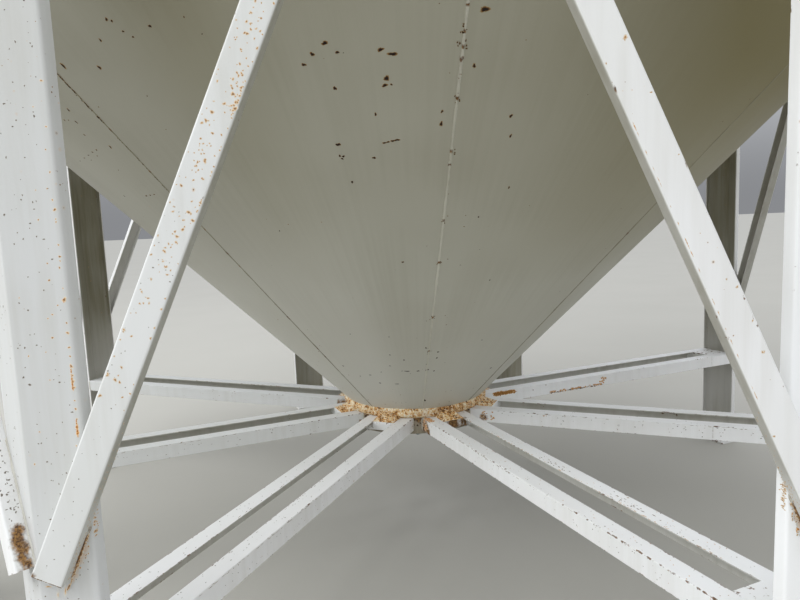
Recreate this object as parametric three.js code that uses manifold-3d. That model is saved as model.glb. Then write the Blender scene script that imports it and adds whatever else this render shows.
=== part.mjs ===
// Hopper-bottom grain silo on eight legs: a welded steel cylinder with a 45 degree cone under it.
// Millimetres, +Z up. The origin is on the ground under the middle of the outlet.
// Azimuths are in degrees from the front (-Y), growing towards +X.
import * as THREE from 'three';
import { mergeVertices } from 'three/addons/utils/BufferGeometryUtils.js';
import Module from 'manifold-3d';

const wasm = await Module();
wasm.setup();

// Driving dimensions
const BAYS = 8;
const FACETS = 80;
const GAP = 0.3;
const MITRE = THREE.MathUtils.degToRad(180 / BAYS);

// Spokes: twin angles from the outlet collar to each leg
const SPOKE_TOP = 600;
const ANGLE_SIZE = 65;
const ANGLE_WALL = 6;
const SPOKE_HALF = 118;
const SHOE_START = 2078;
const SHELF_END = 445;
const SHELF_DROP = 40;

// Legs: plate bent to follow the two bays that meet at it, with a lip along each side
const LEG_LIP_END = 2240;
const LEG_BEND = 2269;
const LEG_WALL = 6;
const LEG_APEX = LEG_BEND + SPOKE_HALF * Math.tan(MITRE);
const FOOT_PLATE = 260;
const FOOT_PLATE_WALL = 12;
const LEG_WEB_WALL = 8;

// Braces: two channels in each bay, from the feet of the legs to the middle of the ring beam
const BRACE_WIDTH = 70;
const BRACE_DEPTH = 42;
const BRACE_WALL = 5;
const BRACE_SLOPE = 0.4566;
const BRACE_OUTER_AT_SPOKES = 996;
const BRACE_FOOT_INNER = 824;
const BAY_PLANE = LEG_APEX * Math.cos(MITRE) + GAP;

// Collar and outlet under the cone
const COLLAR_OUTER = 362;
const COLLAR_INNER = 328;
const COLLAR_TOP = 612;
const COLLAR_BOTTOM = 528;
const GATE_WALL = 8;

// Cone: radius grows 1.0104 for each unit of height above its virtual tip
const CONE_RATE = 1.0104;
const CONE_TIP = 282;
const CONE_WALL = 5;
const SEAMS_IN_FRONT = [-37.0, 4.0, 45.5];
const PLATES_BEHIND = 7;

// Cylinder, ring beam and roof
const WALL_RADIUS = 2134;
const WALL_PLATE = 5;
const COURSE = 1220;
const COURSES = 3;
const WALL_BOTTOM = CONE_TIP + WALL_RADIUS / CONE_RATE;
const EAVE = WALL_BOTTOM + COURSES * COURSE;
const WALL_QUARTERS = 4;
const RING_BOTTOM = 2740;
const RING_HEIGHT = 120;
const RING_OUTER = 2330;
const RING_WALL = 8;
const ROOF_RISE = 0.62;
const ROOF_PLATE = 5;
const ROOF_OVERHANG = 36;
const NECK_RADIUS = 290;
const NECK_HEIGHT = 150;
const NECK_WALL = 5;
const LID_OVERLAP = 14;
const LID_SKIRT = 60;
const LID_SEAT = 30;
const LID_RISE = 50;

// Finishes
const PAINT = { color: 0xd9dad6, roughness: 0.5, metalness: 0.0 };
const CONE_PAINT = { color: 0xc9c8bf, roughness: 0.55, metalness: 0.0 };
const RUSTY_PAINT = { color: 0xc8b796, roughness: 0.7, metalness: 0.0 };

const radians = THREE.MathUtils.degToRad;
const silo = new THREE.Group();

// A closed three.js geometry as a solid that can be cut and joined
function solid(geometry) {
  const bare = geometry.index ? geometry.toNonIndexed() : geometry.clone();
  bare.deleteAttribute('normal');
  bare.deleteAttribute('uv');
  const merged = mergeVertices(bare, 1e-4);
  const index = Array.from(merged.index.array);
  const kept = [];
  for (let i = 0; i < index.length; i += 3) {
    const [a, b, c] = [index[i], index[i + 1], index[i + 2]];
    if (a !== b && b !== c && c !== a) kept.push(a, b, c);
  }
  return new wasm.Manifold(new wasm.Mesh({
    numProp: 3,
    vertProperties: new Float32Array(merged.attributes.position.array),
    triVerts: new Uint32Array(kept),
  }));
}

// A solid as a three.js geometry
function geometryOf(body) {
  const mesh = body.getMesh();
  const geometry = new THREE.BufferGeometry();
  geometry.setAttribute('position', new THREE.BufferAttribute(new Float32Array(mesh.vertProperties), 3));
  geometry.setIndex(new THREE.BufferAttribute(new Uint32Array(mesh.triVerts), 1));
  geometry.computeVertexNormals();
  return geometry;
}

function addNode(name, body, finish, azimuth = 0) {
  const mesh = new THREE.Mesh(geometryOf(body), new THREE.MeshStandardMaterial(finish));
  mesh.name = name;
  mesh.rotation.z = radians(azimuth);
  silo.add(mesh);
}

// An upright prism: outline points are [x, y], between two heights
function prism(outline, bottom, top) {
  const shape = new THREE.Shape(outline.map(([x, y]) => new THREE.Vector2(x, y)));
  const geometry = new THREE.ExtrudeGeometry(shape, { depth: top - bottom, bevelEnabled: false });
  return solid(geometry.translate(0, 0, bottom));
}

// A bar that runs outwards along -Y: outline points are [x, z], between two distances from the axis
function radialBar(outline, near, far) {
  const shape = new THREE.Shape(outline.map(([x, z]) => new THREE.Vector2(x, z)));
  const geometry = new THREE.ExtrudeGeometry(shape, { depth: far - near, bevelEnabled: false });
  return solid(geometry.rotateX(Math.PI / 2).translate(0, -near, 0));
}

// A solid of revolution: profile points are [radius, z], up the outside and down the inside
function turned(profile) {
  const points = profile.map(([r, z]) => new THREE.Vector2(r, z));
  if (profile[0][0] > 0) points.push(points[0].clone());
  return solid(new THREE.LatheGeometry(points, FACETS).rotateX(Math.PI / 2));
}

// The sector between two azimuths, its sides set in by half a joint
function sector(from, to, bottom, top) {
  const reach = 4000;
  const near = 20;
  const point = (azimuth, radius, side) => [
    radius * Math.sin(azimuth) + side * Math.cos(azimuth),
    -radius * Math.cos(azimuth) + side * Math.sin(azimuth),
  ];
  const [a, b] = [radians(from), radians(to)];
  const half = GAP / 2;
  const outline = [point(a, near, half), point(a, reach, half)];
  for (const part of [0.25, 0.5, 0.75]) outline.push(point(a + (b - a) * part, reach * 1.3, 0));
  outline.push(point(b, reach, -half), point(b, near, -half));
  return prism(outline, bottom, top);
}

function box(x0, x1, near, far, bottom, top) {
  return prism([[x0, -near], [x0, -far], [x1, -far], [x1, -near]], bottom, top);
}

// Leg: bent plate with lips, a foot plate, and a web to the cylinder above the cone
function leg() {
  const inner = SPOKE_HALF - LEG_WALL;
  const innerApex = LEG_APEX - LEG_WALL / Math.cos(MITRE);
  const innerBend = innerApex - inner * Math.tan(MITRE);
  const section = [
    [SPOKE_HALF, -LEG_LIP_END], [inner, -LEG_LIP_END], [inner, -innerBend], [0, -innerApex],
    [-inner, -innerBend], [-inner, -LEG_LIP_END], [-SPOKE_HALF, -LEG_LIP_END],
    [-SPOKE_HALF, -LEG_BEND], [0, -LEG_APEX], [SPOKE_HALF, -LEG_BEND],
  ];
  const middle = (LEG_LIP_END + LEG_APEX) / 2;
  const plate = box(-FOOT_PLATE / 2, FOOT_PLATE / 2, middle - FOOT_PLATE / 2, middle + FOOT_PLATE / 2,
    0, FOOT_PLATE_WALL);
  const web = box(-LEG_WEB_WALL / 2, LEG_WEB_WALL / 2, WALL_RADIUS + GAP, innerApex + 1,
    WALL_BOTTOM, RING_BOTTOM);
  return prism(section, 0, RING_BOTTOM).add(plate).add(web);
}

// Spoke: two angles with their flanges inwards, a shoe of the same height against the leg, and
// a shelf that closes the gap between the angles at the collar and is turned down at its end
function spoke() {
  const bottom = SPOKE_TOP - ANGLE_SIZE;
  const under = SPOKE_TOP - ANGLE_WALL;
  const web = SPOKE_HALF - ANGLE_WALL;
  const flange = SPOKE_HALF - ANGLE_SIZE;
  let body = box(-SPOKE_HALF, SPOKE_HALF, SHOE_START, SHOE_START + ANGLE_WALL, bottom, SPOKE_TOP);
  for (const side of [-1, 1]) {
    const section = [[side * SPOKE_HALF, bottom], [side * SPOKE_HALF, SPOKE_TOP],
      [side * flange, SPOKE_TOP], [side * flange, under], [side * web, under], [side * web, bottom]];
    body = body.add(radialBar(section, COLLAR_INNER - ANGLE_SIZE, SHOE_START + 1));
  }
  const shoe = [[-SPOKE_HALF, bottom], [-SPOKE_HALF, SPOKE_TOP], [SPOKE_HALF, SPOKE_TOP],
    [SPOKE_HALF, bottom], [web, bottom], [web, under], [-web, under], [-web, bottom]];
  body = body.add(radialBar(shoe, SHOE_START, LEG_LIP_END - GAP))
    .add(box(-flange - 1, flange + 1, COLLAR_INNER, SHELF_END, under, SPOKE_TOP))
    .add(box(-web - 1, web + 1, SHELF_END - ANGLE_WALL, SHELF_END, SPOKE_TOP - SHELF_DROP, SPOKE_TOP));
  const round = turned([[0, 0], [COLLAR_OUTER + GAP, 0], [COLLAR_OUTER + GAP, WALL_BOTTOM],
    [0, WALL_BOTTOM]]);
  return body.subtract(round);
}

// Brace on the given side of its bay: a channel with its web outwards and its flanges to the leg
function brace(side) {
  const acrossSlope = Math.hypot(1, BRACE_SLOPE);
  const width = BRACE_WIDTH * acrossSlope;
  const edge = (offset, z) => BRACE_OUTER_AT_SPOKES - offset - BRACE_SLOPE * (z - SPOKE_TOP);
  const band = (from, to, near, far) => {
    const top = RING_BOTTOM + 200;
    const low = BRACE_FOOT_INNER - 200;
    const outline = [[side * edge(from, low), low], [side * edge(to, low), low],
      [side * edge(to, top), top], [side * edge(from, top), top]];
    return radialBar(outline, near, far);
  };
  const flange = BRACE_WALL * acrossSlope;
  const [back, front] = [BAY_PLANE, BAY_PLANE + BRACE_DEPTH];
  const channel = band(0, width, front - BRACE_WALL, front)
    .add(band(0, flange, back, front))
    .add(band(width - flange, width, back, front));
  // The foot is cut square across the brace, the top is mitred at the middle of the bay
  const foot = [edge(width, BRACE_FOOT_INNER), BRACE_FOOT_INNER];
  const along = [-BRACE_SLOPE / acrossSlope, 1 / acrossSlope];
  const across = [along[1], -along[0]];
  const reach = 400;
  const corner = (a, b) => [side * (foot[0] + a * across[0] + b * along[0]),
    foot[1] + a * across[1] + b * along[1]];
  const kept = [corner(-reach, 0), corner(reach, 0), corner(reach, 3000), corner(-reach, 3000)];
  const half = [[side * GAP, 0], [side * 2000, 0], [side * 2000, RING_BOTTOM - GAP],
    [side * GAP, RING_BOTTOM - GAP]];
  return channel.intersect(radialBar(kept, back - 10, front + 10))
    .intersect(radialBar(half, back - 10, front + 10));
}

// Cone plates: three seams in front where they were measured, the rest shared out evenly
const first = SEAMS_IN_FRONT[0];
const last = SEAMS_IN_FRONT[SEAMS_IN_FRONT.length - 1];
const behind = (360 - (last - first)) / PLATES_BEHIND;
const seams = [...SEAMS_IN_FRONT];
for (let i = 1; i <= PLATES_BEHIND; i += 1) seams.push(last + behind * i);

function coneShell() {
  const along = (z) => (z - CONE_TIP) * CONE_RATE;
  const thick = CONE_WALL * Math.hypot(1, CONE_RATE);
  const [bottom, top] = [COLLAR_TOP + GAP, WALL_BOTTOM - GAP];
  return turned([[along(bottom), bottom], [along(top), top], [along(top) - thick, top],
    [along(bottom) - thick, bottom]]);
}

function cylinderShell(outer, wall, bottom, top) {
  return turned([[outer, bottom], [outer, top], [outer - wall, top], [outer - wall, bottom]]);
}

// Ring beam: a channel rolled round the cylinder, open towards it
function ringBeam() {
  const [bottom, top] = [RING_BOTTOM, RING_BOTTOM + RING_HEIGHT];
  const inner = WALL_RADIUS + GAP;
  return turned([[inner, bottom], [RING_OUTER, bottom], [RING_OUTER, top], [inner, top],
    [inner, top - RING_WALL], [RING_OUTER - RING_WALL, top - RING_WALL],
    [RING_OUTER - RING_WALL, bottom + RING_WALL], [inner, bottom + RING_WALL]]);
}

const roofHeight = (radius) => EAVE + GAP + (WALL_RADIUS - radius) * ROOF_RISE;
const roofThick = ROOF_PLATE * Math.hypot(1, ROOF_RISE);

function roofShell() {
  const [low, high] = [WALL_RADIUS + ROOF_OVERHANG, NECK_RADIUS + GAP];
  return turned([[low, roofHeight(low)], [low, roofHeight(low) + roofThick],
    [high, roofHeight(high) + roofThick], [high, roofHeight(high)]]);
}

// Neck and lid over the fill opening in the middle of the roof
const neckBottom = roofHeight(NECK_RADIUS) - 20;
const neckTop = neckBottom + NECK_HEIGHT;

// Lid: a low cone with a flat seat on the neck's edge and a skirt outside it
function lid() {
  const outer = NECK_RADIUS + LID_OVERLAP;
  const seat = NECK_RADIUS - LID_SEAT;
  const under = neckTop + GAP;
  const top = under + NECK_WALL;
  return turned([[outer - NECK_WALL, neckTop - LID_SKIRT], [outer, neckTop - LID_SKIRT],
    [outer, top], [seat, top], [0, top + LID_RISE], [0, under + LID_RISE], [seat, under],
    [outer - NECK_WALL, under]]);
}

for (let i = 0; i < BAYS; i += 1) {
  const bay = 360 / BAYS;
  addNode(`leg_${i + 1}`, leg(), PAINT, bay * (i + 0.5));
  addNode(`spoke_${i + 1}`, spoke(), PAINT, bay * (i + 0.5));
  addNode(`brace_${i + 1}_left`, brace(-1), PAINT, bay * i);
  addNode(`brace_${i + 1}_right`, brace(1), PAINT, bay * i);
}
addNode('collar', cylinderShell(COLLAR_OUTER, COLLAR_OUTER - COLLAR_INNER, COLLAR_BOTTOM, COLLAR_TOP),
  RUSTY_PAINT);
const gateTop = COLLAR_BOTTOM - GAP;
addNode('outlet_gate', turned([[0, gateTop - GATE_WALL], [COLLAR_OUTER, gateTop - GATE_WALL],
  [COLLAR_OUTER, gateTop], [0, gateTop]]), RUSTY_PAINT);

const cone = coneShell();
for (let i = 0; i + 1 < seams.length; i += 1) {
  addNode(`cone_plate_${i + 1}`, cone.intersect(sector(seams[i], seams[i + 1], 0, EAVE)), CONE_PAINT);
}

const cylinder = cylinderShell(WALL_RADIUS, WALL_PLATE, WALL_BOTTOM, EAVE);
for (let i = 0; i < WALL_QUARTERS; i += 1) {
  const quarter = 360 / WALL_QUARTERS;
  const cut = sector(quarter * (i - 0.5), quarter * (i + 0.5), 0, EAVE + 100);
  addNode(`wall_${i + 1}`, cylinder.intersect(cut), PAINT);
}
addNode('ring_beam', ringBeam(), PAINT);
addNode('roof', roofShell(), PAINT);
addNode('roof_neck', cylinderShell(NECK_RADIUS, NECK_WALL, neckBottom, neckTop), PAINT);
addNode('lid', lid(), PAINT);

export default silo;
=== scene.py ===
# %% [markdown]
# # A hopper-bottom grain silo
#
# The silo is a welded steel cylinder on a steep cone. Eight legs of bent plate carry it, pairs of angles
# tie the legs to the outlet collar, and two channels cross each bay. It has stood outside for years, so
# its white enamel is chipped and freckled with rust, and grain lies caked on the ledge round the outlet.
# The frame that this script loads holds every part's place and size. Each cell below dresses one kind of
# part.

# %% The frame
from math import atan, cos, hypot, radians, sin, sqrt, tan

import bpy
import numpy as np
from mathutils import Matrix


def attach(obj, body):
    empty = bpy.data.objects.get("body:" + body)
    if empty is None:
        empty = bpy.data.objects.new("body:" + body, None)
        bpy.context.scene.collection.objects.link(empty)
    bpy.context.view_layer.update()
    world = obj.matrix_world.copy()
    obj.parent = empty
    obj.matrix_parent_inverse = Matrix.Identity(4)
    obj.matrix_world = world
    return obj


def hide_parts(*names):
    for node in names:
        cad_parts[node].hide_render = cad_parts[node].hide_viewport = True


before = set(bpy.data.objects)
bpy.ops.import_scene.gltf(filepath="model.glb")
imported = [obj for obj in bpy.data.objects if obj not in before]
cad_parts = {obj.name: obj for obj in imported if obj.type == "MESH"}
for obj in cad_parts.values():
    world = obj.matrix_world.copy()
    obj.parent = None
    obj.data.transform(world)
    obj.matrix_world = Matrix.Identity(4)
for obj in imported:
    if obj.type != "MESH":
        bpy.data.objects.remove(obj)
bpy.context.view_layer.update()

# %% [markdown]
# ## Camera
#
# The viewer stands close in front of the silo, at eye height, and looks slightly down at the cone's lower
# half. A camera could be placed by eye, but the lines of the legs, spokes and braces were measured, so
# its place, turn and focal length are known numbers. The frame is 800 by 600 pixels.

# %% Camera
EYE = (-0.0755, -3.518, 1.580)
HEADING, PITCH, ROLL = radians(0.24), radians(-7.12), radians(-2.37)
FOCAL_PIXELS, FRAME_PIXELS, SENSOR = 663.17, 800, 36


def shown(name, data):
    """A new object in the scene."""
    thing = bpy.data.objects.new(name, data)
    bpy.context.scene.collection.objects.link(thing)
    return thing


def aimed(place, heading, pitch, roll=0.0):
    """The matrix of a camera or lamp that looks along +Y, then turned to the right, up, and about its own
    axis."""
    return (Matrix.Translation(place) @ Matrix.Rotation(-heading, 4, "Z")
            @ Matrix.Rotation(radians(90) + pitch, 4, "X") @ Matrix.Rotation(roll, 4, "Z"))


lens = bpy.data.cameras.new("eye_height")
lens.sensor_width = SENSOR
lens.lens = FOCAL_PIXELS / FRAME_PIXELS * SENSOR
camera = shown("eye_height", lens)
camera.matrix_world = aimed(EYE, HEADING, PITCH, ROLL)
bpy.context.scene.camera = camera
print("lens:", round(lens.lens, 2), "mm, eye height:", EYE[2], "m")

# %% [markdown]
# ## Sizes
#
# These are the sizes of the frame's own parts, in metres, in the words of a steelworker. Two kinds of
# radius are added here: the bends of the folded plates, and the slightly blunt edge that shears and paint
# leave.

# %% Sizes
BAYS = 8
BETWEEN, MITRE = 360 / BAYS, radians(180 / BAYS)
GAP = 0.0003
SPOKE_TOP, ANGLE_SIZE, ANGLE_WALL, SPOKE_HALF = 0.600, 0.065, 0.006, 0.118
SHOE_START, SHELF_END, SHELF_DROP = 2.078, 0.445, 0.040
LIP_END, LEG_BEND, LEG_WALL = 2.240, 2.269, 0.006
FOOT_HALF, FOOT_PLATE, WEB_HALF = 0.130, 0.012, 0.004
LEG_APEX = LEG_BEND + SPOKE_HALF * tan(MITRE)
BRACE_WIDTH, BRACE_DEPTH, BRACE_WALL, BRACE_SLOPE = 0.070, 0.042, 0.005, 0.4566
BRACE_OUTER, BRACE_FOOT = 0.996, 0.824
BAY_PLANE = LEG_APEX * cos(MITRE) + GAP
COLLAR_OUTER, COLLAR_INNER, COLLAR_TOP, COLLAR_BOTTOM = 0.362, 0.328, 0.612, 0.528
BOLT_CIRCLE, BOLTS = 0.345, 16
CONE_RATE, CONE_TIP, CONE_WALL = 1.0104, 0.282, 0.005
SEAMS_IN_FRONT, PLATES_BEHIND = [-37.0, 4.0, 45.5], 7
WALL_RADIUS, WALL_PLATE, COURSE, COURSES = 2.134, 0.005, 1.220, 3
WALL_BOTTOM = CONE_TIP + WALL_RADIUS / CONE_RATE
EAVE = WALL_BOTTOM + COURSES * COURSE
RING_BOTTOM, RING_HEIGHT, RING_OUTER, RING_WALL = 2.740, 0.120, 2.330, 0.008
ROOF_RISE, ROOF_PLATE, OVERHANG = 0.62, 0.005, 0.036
NECK_RADIUS, NECK_HEIGHT, NECK_WALL = 0.290, 0.150, 0.005
LID_OVERLAP, LID_SKIRT, LID_SEAT, LID_RISE = 0.014, 0.060, 0.030, 0.050
CUT_EDGE, PLATE_BEND, CHANNEL_BEND, ANGLE_HEEL = 0.0008, 0.0095, 0.0055, 0.0022
print("leg apex:", round(LEG_APEX, 4), "cone top:", round(WALL_BOTTOM, 4), "eave:", round(EAVE, 4))

# %% [markdown]
# ## Skins
#
# Nearly every part here is a flat or bent plate, so nearly every part is one outline carried along a
# path. The outline gets rounded corners first. The skin is then a grid: one row of points per station of
# the path. Working with whole arrays keeps this quick. One number travels with each point: how close it
# is to a bend or cut edge, where paint wears first.

# %% Outlines with rounded corners
PLAIN = 0.014


def rounded(corners, radii, steps=4):
    """Outline points and their wear. Each corner becomes the quadratic curve (1-t)^2 A + 2t(1-t) C + t^2
    B, where C is the corner and A and B lie radius * tan(turn / 2) from it on its two sides. A plain
    point follows on each side, and the wear is 1 on the curve and 0 on the plain points."""
    corners = np.array(corners, float)
    back, ahead = np.roll(corners, 1, 0) - corners, np.roll(corners, -1, 0) - corners
    room_back, room_ahead = (np.linalg.norm(side, axis=1)[:, None] for side in (back, ahead))
    back, ahead = back / room_back, ahead / room_ahead
    turn = np.pi - np.arccos(np.clip((back * ahead).sum(1), -1, 1))
    tangent = (np.broadcast_to(radii, len(corners)) * np.tan(turn / 2))[:, None]
    t = np.linspace(0, 1, steps)[None, :, None]
    start, end = (corners + back * tangent)[:, None], (corners + ahead * tangent)[:, None]
    curve = (1 - t) ** 2 * start + 2 * t * (1 - t) * corners[:, None] + t ** 2 * end
    plain_back = (corners + back * np.minimum(tangent + PLAIN, room_back * 0.45))[:, None]
    plain_ahead = (corners + ahead * np.minimum(tangent + PLAIN, room_ahead * 0.45))[:, None]
    points = np.concatenate([plain_back, curve, plain_ahead], axis=1)
    worn = np.zeros(points.shape[:2])
    worn[:, 1:-1] = 1
    return points.reshape(-1, 2), worn.ravel()


def filled(outline, worn, gap=0.012):
    """The same outline with further points wherever two lie more than a gap apart, read off along its
    length."""
    loop = np.vstack([outline, outline[:1]])
    s = np.concatenate([[0], np.cumsum(np.linalg.norm(np.diff(loop, axis=0), axis=1))])
    even = np.arange(0, s[-1], gap)
    near = np.abs(even[:, None] - s[None, :]).min(1)
    along = np.sort(np.concatenate([s[:-1], even[near > gap * 0.35]]))
    points = np.stack([np.interp(along, s, loop[:, 0]), np.interp(along, s, loop[:, 1])], -1)
    return points, np.interp(along, s, np.append(worn, worn[0]))


def stations(start, end, step):
    """Even places from start to end, at most a step apart."""
    return np.linspace(start, end, max(2, int(np.ceil((end - start) / step)) + 1))


square, wear = rounded([(0, 0), (1, 0), (1, 1), (0, 1)], 0.1)
print("points on a rounded square:", len(square))

# %% Skins from rings of points
def xyz(x, y, z):
    """Points from arrays or numbers, spread to a common shape."""
    return np.stack(np.broadcast_arrays(x, y, z), -1)


def polar(radius, azimuth, height):
    """Points from radius, azimuth in radians from the front towards +X, and height."""
    return xyz(radius * np.sin(azimuth), -radius * np.cos(azimuth), height)


def outwards(points, faces):
    """The same faces, all turned over if the volume inside them, the sum of a . (b x c) / 6 over fans of
    triangles, comes out negative."""
    total = 0.0
    for group in faces:
        a, fan = points[group[:, 0]], [points[group[:, k]] for k in range(1, group.shape[1])]
        for b, c in zip(fan[:-1], fan[1:]):
            total += (a * np.cross(b, c)).sum()
    return faces if total > 0 else [group[:, ::-1] for group in faces]


def carried(rings, worn=None, closed=False):
    """A skin over rings of points, an array of stations by points by xyz: quads between neighbouring
    rings, and one face over each end unless the last ring joins the first. Worn is one number per point
    of a ring."""
    rows, columns = rings.shape[:2]
    index = np.arange(rows * columns).reshape(rows, columns)
    here, there = (index, np.roll(index, -1, 0)) if closed else (index[:-1], index[1:])
    quads = np.stack([here, np.roll(here, -1, 1), np.roll(there, -1, 1), there], -1).reshape(-1, 4)
    faces = [quads] if closed else [quads, index[:1, ::-1], index[-1:]]
    edge = np.zeros((rows, columns)) + (0 if worn is None else worn)
    if not closed:
        edge[[0, -1]] = 1
    points = rings.reshape(-1, 3)
    return {"points": points, "faces": outwards(points, faces), "edge": edge.ravel()}


def turned(profile, worn=None, segments=240):
    """A ring-shaped solid: a closed outline of radius and height carried once round the axis."""
    around = np.arange(segments)[:, None] * 2 * np.pi / segments
    return carried(polar(profile[:, 0], around, profile[:, 1]), worn, closed=True)


def capped(profile, segments=160):
    """A round solid on the axis: circles of the radii and heights given, with a flat face on both ends."""
    around = np.arange(segments) * 2 * np.pi / segments
    profile = np.array(profile, float)
    return carried(polar(profile[:, :1], around, profile[:, 1:]))


def block(low, high, radius=0.001, step=0.05):
    """A plate or bar between two corners: a rounded rectangle carried from its lowest to its highest
    height."""
    (x0, y0, z0), (x1, y1, z1) = low, high
    outline, worn = rounded([(x0, y0), (x1, y0), (x1, y1), (x0, y1)], radius)
    return carried(xyz(*outline.T, stations(z0, z1, step)[:, None]), worn)


def small_solid(sides, levels, x, y):
    """A nut, washer or stud about an upright line: regular rings of radii and heights, with flat ends."""
    around = np.arange(sides) * 2 * np.pi / sides
    radius, height = np.array(levels).T[..., None]
    return carried(xyz(x + radius * np.cos(around), y + radius * np.sin(around), height))


def turn(points, azimuth):
    """Points or directions turned about the silo's axis, by degrees from the front towards +X."""
    a = radians(azimuth)
    return points @ np.array([[cos(a), sin(a), 0], [-sin(a), cos(a), 0], [0, 0, 1]])


def swung(part, azimuth):
    """A whole part turned in the same way."""
    return {**part, "points": turn(part["points"], azimuth)}


def leg_azimuth(number):
    """Degrees from the front to a leg or spoke. The bays lie between them, bay 1 in front."""
    return BETWEEN * (number - 0.5)


print("points in a sample block:", len(block((0, 0, 0), (1, 1, 1))["points"]))

# %% [markdown]
# ## From skins to pieces
#
# A piece joins one or more skins into one mesh, gets its material, rides on the silo's only body, and
# stands for the frame's part that it dresses. Smooth shading is kept off the real corners by marking them
# sharp, and a weighted normal keeps the wide flats flat beside the narrow bends.

# %% Pieces
LEFT_BAY, RIGHT_BAY = -1, 1
SIDE_NAMES = {LEFT_BAY: "left", RIGHT_BAY: "right"}


def piece(name, parts, material, stands_for=(), stains=(), extra=None, weighted=True):
    """One mesh object from joined skins. Stains are (x, y, z, radius): the rust number falls from 1 at
    the middle of each to 0 at its radius. Extra holds further numbers per point."""
    starts = np.cumsum([0] + [len(part["points"]) for part in parts[:-1]])
    points = np.concatenate([part["points"] for part in parts])
    faces = [face for part, start in zip(parts, starts) for group in part["faces"]
             for face in (group + start).tolist()]
    mesh = bpy.data.meshes.new(name)
    mesh.from_pydata(points.tolist(), [], faces)
    rust = np.zeros(len(points))
    if len(stains):
        middles = np.array(stains, float)
        far = np.linalg.norm(points[:, None] - middles[None, :, :3], axis=2) / middles[None, :, 3]
        rust = np.clip(1.15 - far, 0, 1).max(1)
    numbers = {"edge": np.concatenate([part["edge"] for part in parts]), "rust": rust, **(extra or {})}
    for key in {key for part in parts for key in part} - {"points", "faces", "edge"}:
        numbers[key] = np.concatenate([part.get(key, np.zeros(len(part["points"]))) for part in parts])
    for key, values in numbers.items():
        mesh.attributes.new(key, "FLOAT", "POINT").data.foreach_set("value", np.asarray(values, np.float32))
    mesh.shade_smooth()
    mesh.set_sharp_from_angle(angle=radians(38))
    mesh.materials.append(material)
    thing = shown(name, mesh)
    if weighted:
        thing.modifiers.new("flats", "WEIGHTED_NORMAL").keep_sharp = True
    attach(thing, "root")
    if stands_for:
        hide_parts(*stands_for)
    return thing


print("a piece stands for parts such as", sorted(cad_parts)[0])

# %% [markdown]
# ## Node helpers
#
# All finishes are built from nodes that read the object's own coordinates, in metres, or the numbers kept
# on the points. One helper adds a node, with its settings and with numbers, colours or other nodes on its
# inputs, and short ones add the kinds that come back most.

# %% Colours and nodes
def linear(code):
    """An sRGB hex colour as linear red, green, blue and alpha."""
    parts = [int(code[i:i + 2], 16) / 255 for i in (1, 3, 5)]
    return tuple(v / 12.92 if v <= 0.04045 else ((v + 0.055) / 1.055) ** 2.4 for v in parts) + (1.0,)


def put(tree, node, inputs):
    """Fills a node's inputs. A node gives its first active output, a socket is linked as it is, a hex
    colour is made linear, and anything else is set as its value."""
    for key, value in inputs.items():
        if isinstance(value, bpy.types.Node):
            value = next(output for output in value.outputs if output.enabled)
        if isinstance(value, bpy.types.NodeSocket):
            tree.links.new(value, node.inputs[key])
        else:
            node.inputs[key].default_value = linear(value) if isinstance(value, str) else value
    return node


def add(tree, kind, inputs=None, **settings):
    """A new node, its settings made before its inputs are filled."""
    node = tree.nodes.new("ShaderNode" + kind)
    for key, value in settings.items():
        setattr(node, key, value)
    return put(tree, node, inputs or {})


def maths(tree, operation, *values, **settings):
    """One step of arithmetic on one to three values."""
    return add(tree, "Math", dict(enumerate(values)), operation=operation, **settings)


def times(tree, one, other):
    """The product of two values."""
    return maths(tree, "MULTIPLY", one, other)


def ranged(tree, value, low, high, start=0.0, end=1.0, smooth=False):
    """The value moved from the range low to high into the range start to end, and kept inside it."""
    return add(tree, "MapRange", dict(enumerate((value, low, high, start, end))),
               interpolation_type="SMOOTHSTEP" if smooth else "LINEAR")


def mix(tree, amount, one, other):
    """One colour where the amount is 0, the other where it is 1."""
    return add(tree, "Mix", {0: amount, 6: one, 7: other}, data_type="RGBA")


def noise(tree, place, scale, detail, roughness=0.5):
    """Cloudy noise with features about 1 / scale across."""
    return add(tree, "TexNoise", {"Vector": place, "Scale": scale, "Detail": detail, "Roughness": roughness})


def cells(tree, place, scale):
    """Cells about 1 / scale across: the node itself, and the random numbers that each cell keeps."""
    node = add(tree, "TexVoronoi", {"Vector": place, "Scale": scale})
    return node, add(tree, "SeparateColor", {"Color": node.outputs["Color"]}).outputs


def kept(tree, name):
    """A number kept on the points."""
    return add(tree, "Attribute", attribute_name=name).outputs["Fac"]


def ramp(tree, value, stops):
    """A colour for each value, from places and their colours."""
    node = add(tree, "ValToRGB", {"Fac": value})
    elements, places = node.color_ramp.elements, list(stops)
    for index, at in ((0, places[0]), (1, places[-1])):
        elements[index].position, elements[index].color = at, linear(stops[at])
    for at in places[1:-1]:
        elements.new(at).color = linear(stops[at])
    return node


def bump(tree, strength, distance, height):
    """A small relief of the surface."""
    return add(tree, "Bump", {"Strength": strength, "Distance": distance, "Height": height})


def new_finish(name):
    """A material, its node tree, and the object's own coordinates."""
    material = bpy.data.materials.new(name)
    material.use_nodes = True
    return material, material.node_tree, add(material.node_tree, "TexCoord").outputs["Object"]


def finished(material, inputs):
    """The material with these inputs on its shader."""
    put(material.node_tree, material.node_tree.nodes["Principled BSDF"], inputs)
    return material


print("white enamel in linear light:", [round(v, 3) for v in linear("#e8e9e6")])

# %% [markdown]
# ## Weathered white enamel
#
# Farm steelwork like this is sprayed or brushed with a white alkyd enamel. After years outside it is
# satin and a little chalky, dirt runs down it in faint streaks, and every chip is a small dark pit with
# an orange halo where rust has bled into the paint. The freckles come in loose groups. A photograph could
# be wrapped round the parts, but spots worked out in space from cells need no unwrapping and stay the
# same size on every part.

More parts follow.
